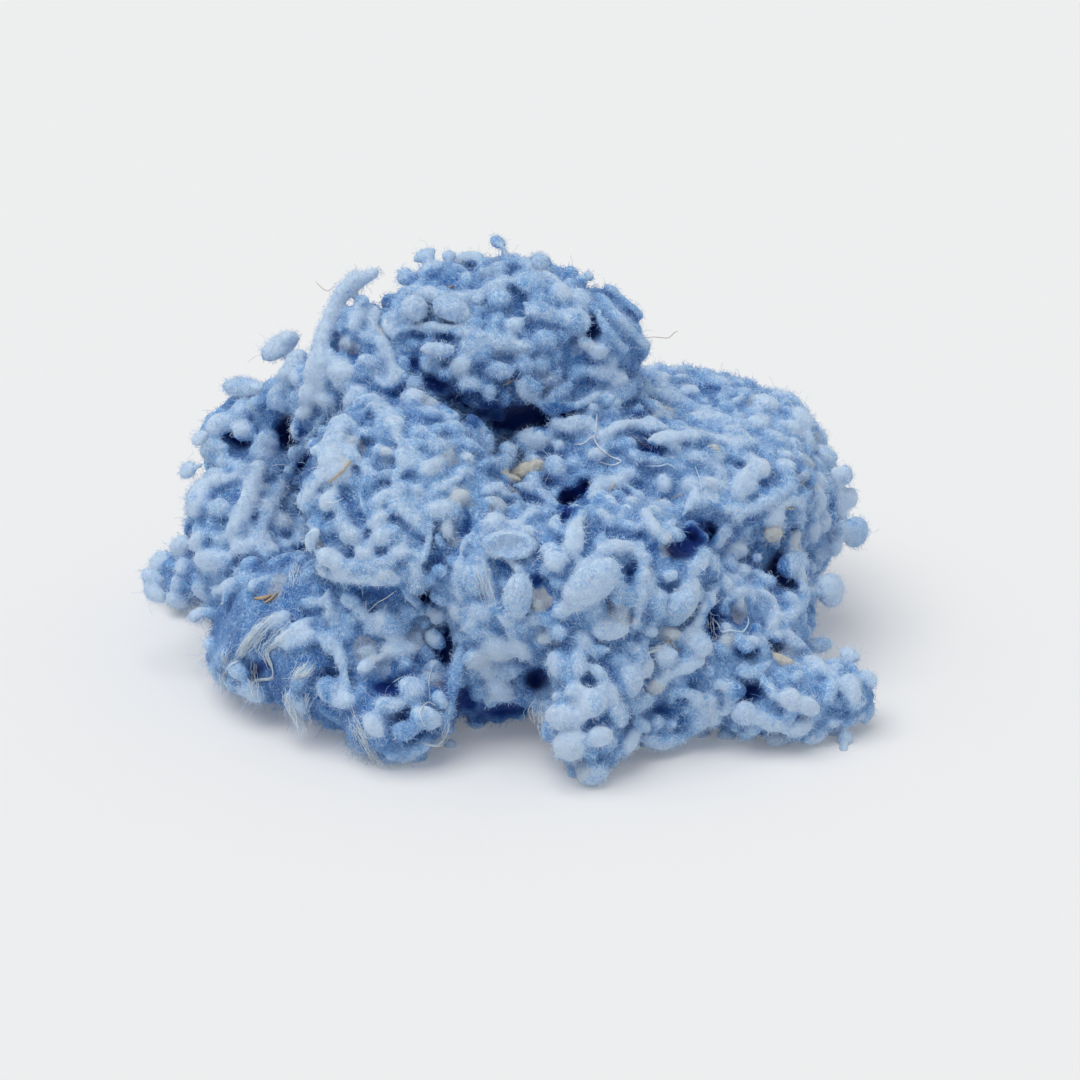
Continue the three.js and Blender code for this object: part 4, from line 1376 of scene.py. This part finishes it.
def drape_locks():
    """Lays wandering locks down the skin, clear of what the photograph shows."""
    draws = np.random.default_rng(SEEDS["draped locks"])
    corners = points_of(skin.data)
    corners = corners[corners[:, 2] > DRAPE_FROM]
    taken = finder_of(np.vstack(seen_points))
    turn_wave, turn = DRAPE_TURNS
    rise_wave, rise = DRAPE_RISES
    for number in draws.choice(len(corners), DRAPED_LOCKS, replace=False):
        point = Vector(corners[number])
        _, normal, _, _ = skin_tree.find_nearest(point)
        way = Vector(draws.normal(size=3)) * DRAPE_SPREAD + Vector((0, 0, -1))
        path, lifts = [], []
        for _ in range(int(draws.uniform(*DRAPE_LENGTH) / DRAPE_STEP)):
            if taken.find(point)[2] < DRAPE_CLEAR or point.z < DRAPE_END:
                break
            path.append(point + normal * noise.noise(point * rise_wave + ASIDE) * rise * MM)
            lifts.append(normal.copy())
            way += DRAPE_PULL + noise.noise_vector(point * turn_wave) * turn
            way -= normal * way.dot(normal)
            way.normalize()
            point, normal, _, _ = skin_tree.find_nearest(point + way * DRAPE_STEP)
            point = point - normal * DRAPE_SINK * MM
        wide = draws.uniform(*DRAPE_WIDTH)
        thick = wide * draws.uniform(*DRAPE_THICKNESS)
        shade = draws.uniform(-1, 1)
        if len(path) < LEAST_POINTS or hollow_share(np.array(path))[0].max() > DRAPE_HOLLOW:
            continue
        owner = nearest_clump(path[len(path) // 2])
        placed[owner].append(lock_shape(path, wide, thick, lifts, DRAPE_SIDES))
        tints[owner].extend((p, shade, 0.0) for p in path)


def thinned(wool):
    """The wool with fewer faces where it lies inside the heap."""
    points = points_of(wool.data)
    deep = np.zeros(len(points), bool)
    for index, point in enumerate(points):
        where, normal, _, far = skin_tree.find_nearest(point)
        deep[index] = far > HIDDEN_DEPTH and (Vector(point) - where).dot(normal) < 0
    share, _ = hollow_share(points)
    deep &= share <= 0
    group = wool.vertex_groups.new(name="hidden")
    group.add([int(i) for i in np.flatnonzero(deep)], 1.0, "REPLACE")
    thin = wool.modifiers.new("thin", "DECIMATE")
    thin.ratio = 1 - deep.mean() * (1 - HIDDEN_SHARE)
    thin.vertex_group = "hidden"
    return settled(wool)


def tinted(wool, marks):
    """The wool pressed flat on the floor, with each point's tint from the nearest mark: a
    centre, its shade and how undyed it is."""
    points = points_of(wool.data)
    points[:, 2] = np.maximum(points[:, 2], 0)
    set_points(wool.data, points)
    finder = finder_of([centre for centre, _, _ in marks])
    nearest = [finder.find(p)[1] for p in points]
    store(wool.data, "shade", [marks[i][1] for i in nearest])
    store(wool.data, "undyed", [marks[i][2] for i in nearest])
    wool.data.materials.clear()
    wool.data.materials.append(BLUE_WOOL)
    return shaded_smooth(wool)


def stands_proud(wool, airiness, tone):
    """Stores what colour and down follow: how proud of the skin each point is, with painted
    shade that darkens what the photograph shows in hollows and the whole clump by tone, how
    airy the wool is there, and how fluffy the photograph shows it."""
    points = points_of(wool.data)
    proud = np.empty(len(points))
    for index, point in enumerate(points):
        where, normal, _, _ = skin_tree.find_nearest(point)
        proud[index] = (Vector(point) - where).dot(normal)
    proud = np.clip(SKIN_PROUD + proud / (2 * NEPP_HEIGHT), -1, 1)
    # Painted shade: seen wool in the photograph's hollows is darkened, more where they are
    # deeper.
    hollow, depth = hollow_share(points)
    spots = seen_spots(points, hollow > 0, SHADE_REACH)
    within = np.zeros(len(points))
    within[spots] = hollow[spots] * np.minimum(depth[spots] / DARK_DEPTH, MOST_DARK)
    airy = np.clip((proud + AIRY_FROM) / AIRY_RANGE, 0, 1)
    away = normals_of(wool.data) @ np.array(LOOK) >= TURNED_AWAY
    airy *= np.where(away, AWAY_AIRINESS, 1.0)
    airy *= points[:, 2] > AIRY_HEIGHT
    airy *= airiness * np.where(within > BARE_DEPTH, BARE_AIRINESS, 1 + within * RIM_AIRINESS)
    # The stored proudness carries the painted shade of the hollows and of the clump.
    store(wool.data, "proud", np.clip(proud + tone - HOLLOW_PAINTED_SHADE * within, -1, 1))
    store(wool.data, "airy", airy)
    store(wool.data, "fluffy", fluffy_share(points) * airy)


def dress_clump(clump, seed):
    """A clump's wool: its share of the mat and the core, with all that was placed on it."""
    solids = [parts_of(base.data) for base in bases[clump]]
    body = joined(clump + "_wool", [*solids, *placed[clump]])
    voxel, airiness = (BACK_VOXEL, BACK_AIRINESS) if clump in BACK_CLUMPS else (WOOL_VOXEL, 1.0)
    wool = rounded(fused(new_object(clump + "_wool", body), voxel), WOOL_ROUNDS)
    felt_noise(wool.data, seed, *CLUMP_FELT)
    wool = tinted(thinned(wool), tints[clump])
    stands_proud(wool, airiness, CLUMP_DARKENING.get(clump, 0.0))
    return wool


def dress_nepp(name, seed):
    """A single nepp's wool, rounder and finer than the solid."""
    nepp = fused(merged_copy(name, name + "_wool"), NEPP_VOXEL)
    if name == "rolled_disc":
        for step in (DISC_CLOSING, DISC_CLOSING, -DISC_CLOSING, -DISC_CLOSING):
            nepp = grown(nepp, step, NEPP_VOXEL)
    nepp = rounded(nepp, NEPP_ROUNDS)
    felt_noise(nepp.data, seed, *NEPP_FELT)
    low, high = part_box(name)
    tinted(nepp, [((low + high) / 2, NEPP_SHADE, CREAM_NEPPS.get(name, 0.0))])
    store(nepp.data, "proud", np.full(len(nepp.data.vertices), NEPP_PROUD))
    store(nepp.data, "airy", np.ones(len(nepp.data.vertices)))
    return nepp


def fuzz_over(wool, kind, seed):
    """The fibres of one kind that stand on the wool. None reaches below the floor."""
    name = wool.name.removesuffix("wool") + kind
    fibres = with_tree(name, wool.data, fuzz_trees[kind],
                       {**FUZZ[kind], "Seed": seed, "Wool": WOOL_FIBRE})
    points = points_of(fibres.data)
    low = points[:, 2] < FIBRE_LIFT
    points[low, 2] = FIBRE_LIFT * np.exp((points[low, 2] - FIBRE_LIFT) / MM)
    set_points(fibres.data, points)
    return fibres


def thread_paths(pixels, lift):
    """A path of pixels on the dressed wool, as arrays of points."""
    parts = seen_paths(pixels, dressed_trees, THREAD_STEP, lift)
    return [np.array([tuple(p) for p in points]) for points, _ in parts]


def loose_wisps():
    """Bundles of fibres that part and come together along a path."""
    draws = np.random.default_rng(SEEDS["wisps"])
    parts = []
    laid = [(*wisp[:3], path) for wisp in WISPS for path in thread_paths(wisp[3], WISP_LIFT)]
    for many, wide, narrow, path in laid:
        share = np.linspace(0, 1, len(path))
        spread = (wide * (1 - share) + narrow * share) * PIXEL / 2
        for _ in range(int(many * WISP_FILL)):
            first, last = draws.uniform(*WISP_STARTS), draws.uniform(*WISP_ENDS)
            keep = (share >= first) & (share <= last)
            if keep.sum() < LEAST_POINTS:
                continue
            side, deep = draws.normal(size=2)
            phase, waves = draws.uniform(*WISP_PHASES), draws.uniform(*WISP_WAVES)
            curl = draws.normal(size=(len(path), 3)) * WISP_CURL
            wave = np.sin(share * waves + phase)
            offset = np.outer((side + WISP_SWAY * wave) * spread, RIGHT)
            offset += np.outer((deep + WISP_HEAVE * wave) * spread * WISP_DEPTH, -np.array(LOOK))
            offset += np.outer((deep - side) * WISP_HEAVE * spread, UP)
            fibre = (path + offset + curl)[keep]
            fibre[:, 2] = np.maximum(fibre[:, 2], WISP_FLOOR)
            parts.append(thread_shape(fibre, draws.uniform(*WISP_WIDTH) * MM, FIBRE_SIDES))
    return new_object("loose_wisps", joined("loose_wisps", parts), PALE_WISP)


def strays(name, kind, material):
    """All the threads, hairs or bits of straw of one kind."""
    parts = []
    for label, width, pixels in STRAYS:
        if label == kind:
            for path in thread_paths(pixels, THREAD_LIFT):
                path[:, 2] = np.maximum(path[:, 2], width * MM)
                parts.append(thread_shape(path, width * MM, THREAD_SIDES))
    return shaded_smooth(new_object(name, joined(name, parts), material))


def belongs(piece, slot_name, *nodes):
    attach(piece, "root")
    if nodes:
        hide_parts(*nodes)


BLUE_WOOL = wool_material("felted wool")
WOOL_FIBRE = fibre_material("wool fibres")
WHITE_THREAD = plain_material("undyed thread", (0.86, 0.87, 0.88))
BLUE_THREAD = plain_material("dyed thread", (0.60, 0.74, 0.95))
PALE_WISP = plain_material("pale wisp", (0.76, 0.84, 0.98))
BROWN_HAIR = plain_material("brown hair", (0.23, 0.14, 0.10))
STRAW = plain_material("straw", (0.52, 0.38, 0.25))
BALL = ball_shape(BALL_ROUNDS)

skin = heap_skin()
skin_tree = search_tree(skin.data)
mat = matted_wool()
core = new_object("core", mat.data.copy())
for _ in range(CORE_INSET_STEPS):
    core = grown(core, -SKIN_STEP, BASE_VOXEL)
bases = {clump: [share_of(clump, mat, CLUMP_REACH_STEPS)] for clump in CLUMPS}
for clump in CORE_CLUMPS:
    bases[clump].append(share_of(clump, core, CORE_REACH_STEPS))

solid_points = [points_of(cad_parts[clump].data) for clump in CLUMPS]
corner_clumps = [clump for clump, points in zip(CLUMPS, solid_points) for _ in points]
clump_finder = finder_of(np.vstack(solid_points))

# What lies on each clump: closed shapes, and marks that tint the wool near them.
placed = {clump: [] for clump in CLUMPS}
tints = {clump: [] for clump in CLUMPS}
draws = random.Random(SEEDS["seen nepps"])
seen_points = []
for *nepp, undyed in SEEN:
    points, centre = seen_nepp(*nepp)
    seen_points.append(points)
    clump = nearest_clump(centre)
    placed[clump].append((points, BALL[1]))
    tints[clump].append((centre, draws.uniform(-1, 1), undyed))
seen_points.extend(points_of(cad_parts[name].data) for name in SINGLE_NEPPS)
for wide, thick, pixels in LOCKS:
    for points, normals in seen_paths(pixels, [skin_tree], LOCK_STEP, LOCK_LIFT):
        clump = most_named([nearest_clump(p) for p in points])
        half = (points[0] - EYE).dot(LOOK) / PIXELS_DEEP / 2
        shape = lock_shape(points, wide * half, thick * half, normals, LOCK_SIDES)
        placed[clump].append(shape)
        seen_points.append(shape[0])
        shade = draws.uniform(-0.5, 1)
        tints[clump].extend((p, shade, 0) for p in points)

strewn_nepps = strewn_tree("strewn nepps", [
    nepp_shape(name, *sizes) for name, sizes in NEPP_SHAPES.items()])
fuzz_trees = {}
for kind, (many, bends, thick, wander, seed) in FIBRE_SHAPES.items():
    fuzz_trees[kind] = fuzz_tree(kind, [
        fibre_shape("%s_%d" % (kind, i), bends, thick, wander, seed + i) for i in range(many)])

strew_over_skin(LARGE_NEPPS)
strew_over_skin(SMALL_NEPPS)
drape_locks()
wool_pieces = []
for number, clump in enumerate(CLUMPS):
    wool = dress_clump(clump, number)
    wool_pieces.append(wool)
    belongs(wool, "blue_wool", clump)
    for kind, first_seed in CLUMP_FUZZ_SEEDS.items():
        if kind != "fluff" or clump in FLUFFY_CLUMPS:
            belongs(fuzz_over(wool, kind, number + first_seed), "blue_wool")
for base in [skin, mat, core, *[b for clump in CLUMPS for b in bases[clump]]]:
    bpy.data.objects.remove(base)
for number, name in enumerate(SINGLE_NEPPS):
    nepp = dress_nepp(name, number + NEPP_FELT_SEED)
    wool_pieces.append(nepp)
    slot_name = "undyed_wool" if name in CREAM_NEPPS else "blue_wool"
    belongs(nepp, slot_name, name)
    belongs(fuzz_over(nepp, "fuzz", number + NEPP_FUZZ_SEED), slot_name)

dressed_trees = [search_tree(piece.data) for piece in wool_pieces]
belongs(loose_wisps(), "blue_wool")
for name, kind, material in (
    ("white_threads", "white", WHITE_THREAD), ("pale_threads", "pale", BLUE_THREAD),
    ("brown_hairs", "hair", BROWN_HAIR), ("straw_bits", "straw", STRAW),
):
    belongs(strays(name, kind, material), "undyed_wool")

# The floor, the light and the camera.
floor_mesh = mesh_from("floor", [(-4, -4, 0), (4, -4, 0), (4, 4, 0), (-4, 4, 0)],
                       [(0, 1, 2, 3)])
floor_material = new_material("pale floor")
end_material(floor_material, {
    "Base Color": (0.72, 0.725, 0.732, 1), "Emission Color": (0.98, 0.99, 1.0, 1),
    "Emission Strength": 0.125, "Roughness": 0.9, "Specular IOR Level": 0.1,
})
new_object("floor", floor_mesh, floor_material)

world = bpy.data.worlds.new("studio")
bpy.context.scene.world = world
world.use_nodes = True
background = world.node_tree.nodes["Background"].inputs
background["Color"].default_value = (0.97, 0.985, 1.0, 1)
background["Strength"].default_value = 0.5
sun = bpy.data.lights.new("softbox", "SUN")
sun.energy = 1.75
sun.angle = math.radians(50)
sun.color = (1.0, 0.985, 0.96)
sun_object = bpy.data.objects.new("softbox", sun)
bpy.context.scene.collection.objects.link(sun_object)
sun_object.rotation_euler = (math.radians(9), math.radians(-15), 0)

camera = bpy.data.cameras.new("camera")
camera.sensor_width = 36
camera.lens = camera.sensor_width / 2 / math.tan(FIELD / 2)
camera.clip_start = 0.05
camera.clip_end = 20
camera_object = bpy.data.objects.new("camera", camera)
bpy.context.scene.collection.objects.link(camera_object)
camera_object.location = EYE
camera_object.rotation_mode = "QUATERNION"
camera_object.rotation_quaternion = LOOK.to_track_quat("-Z", "Y")
bpy.context.scene.camera = camera_object
bpy.context.scene.view_settings.view_transform = "Standard"
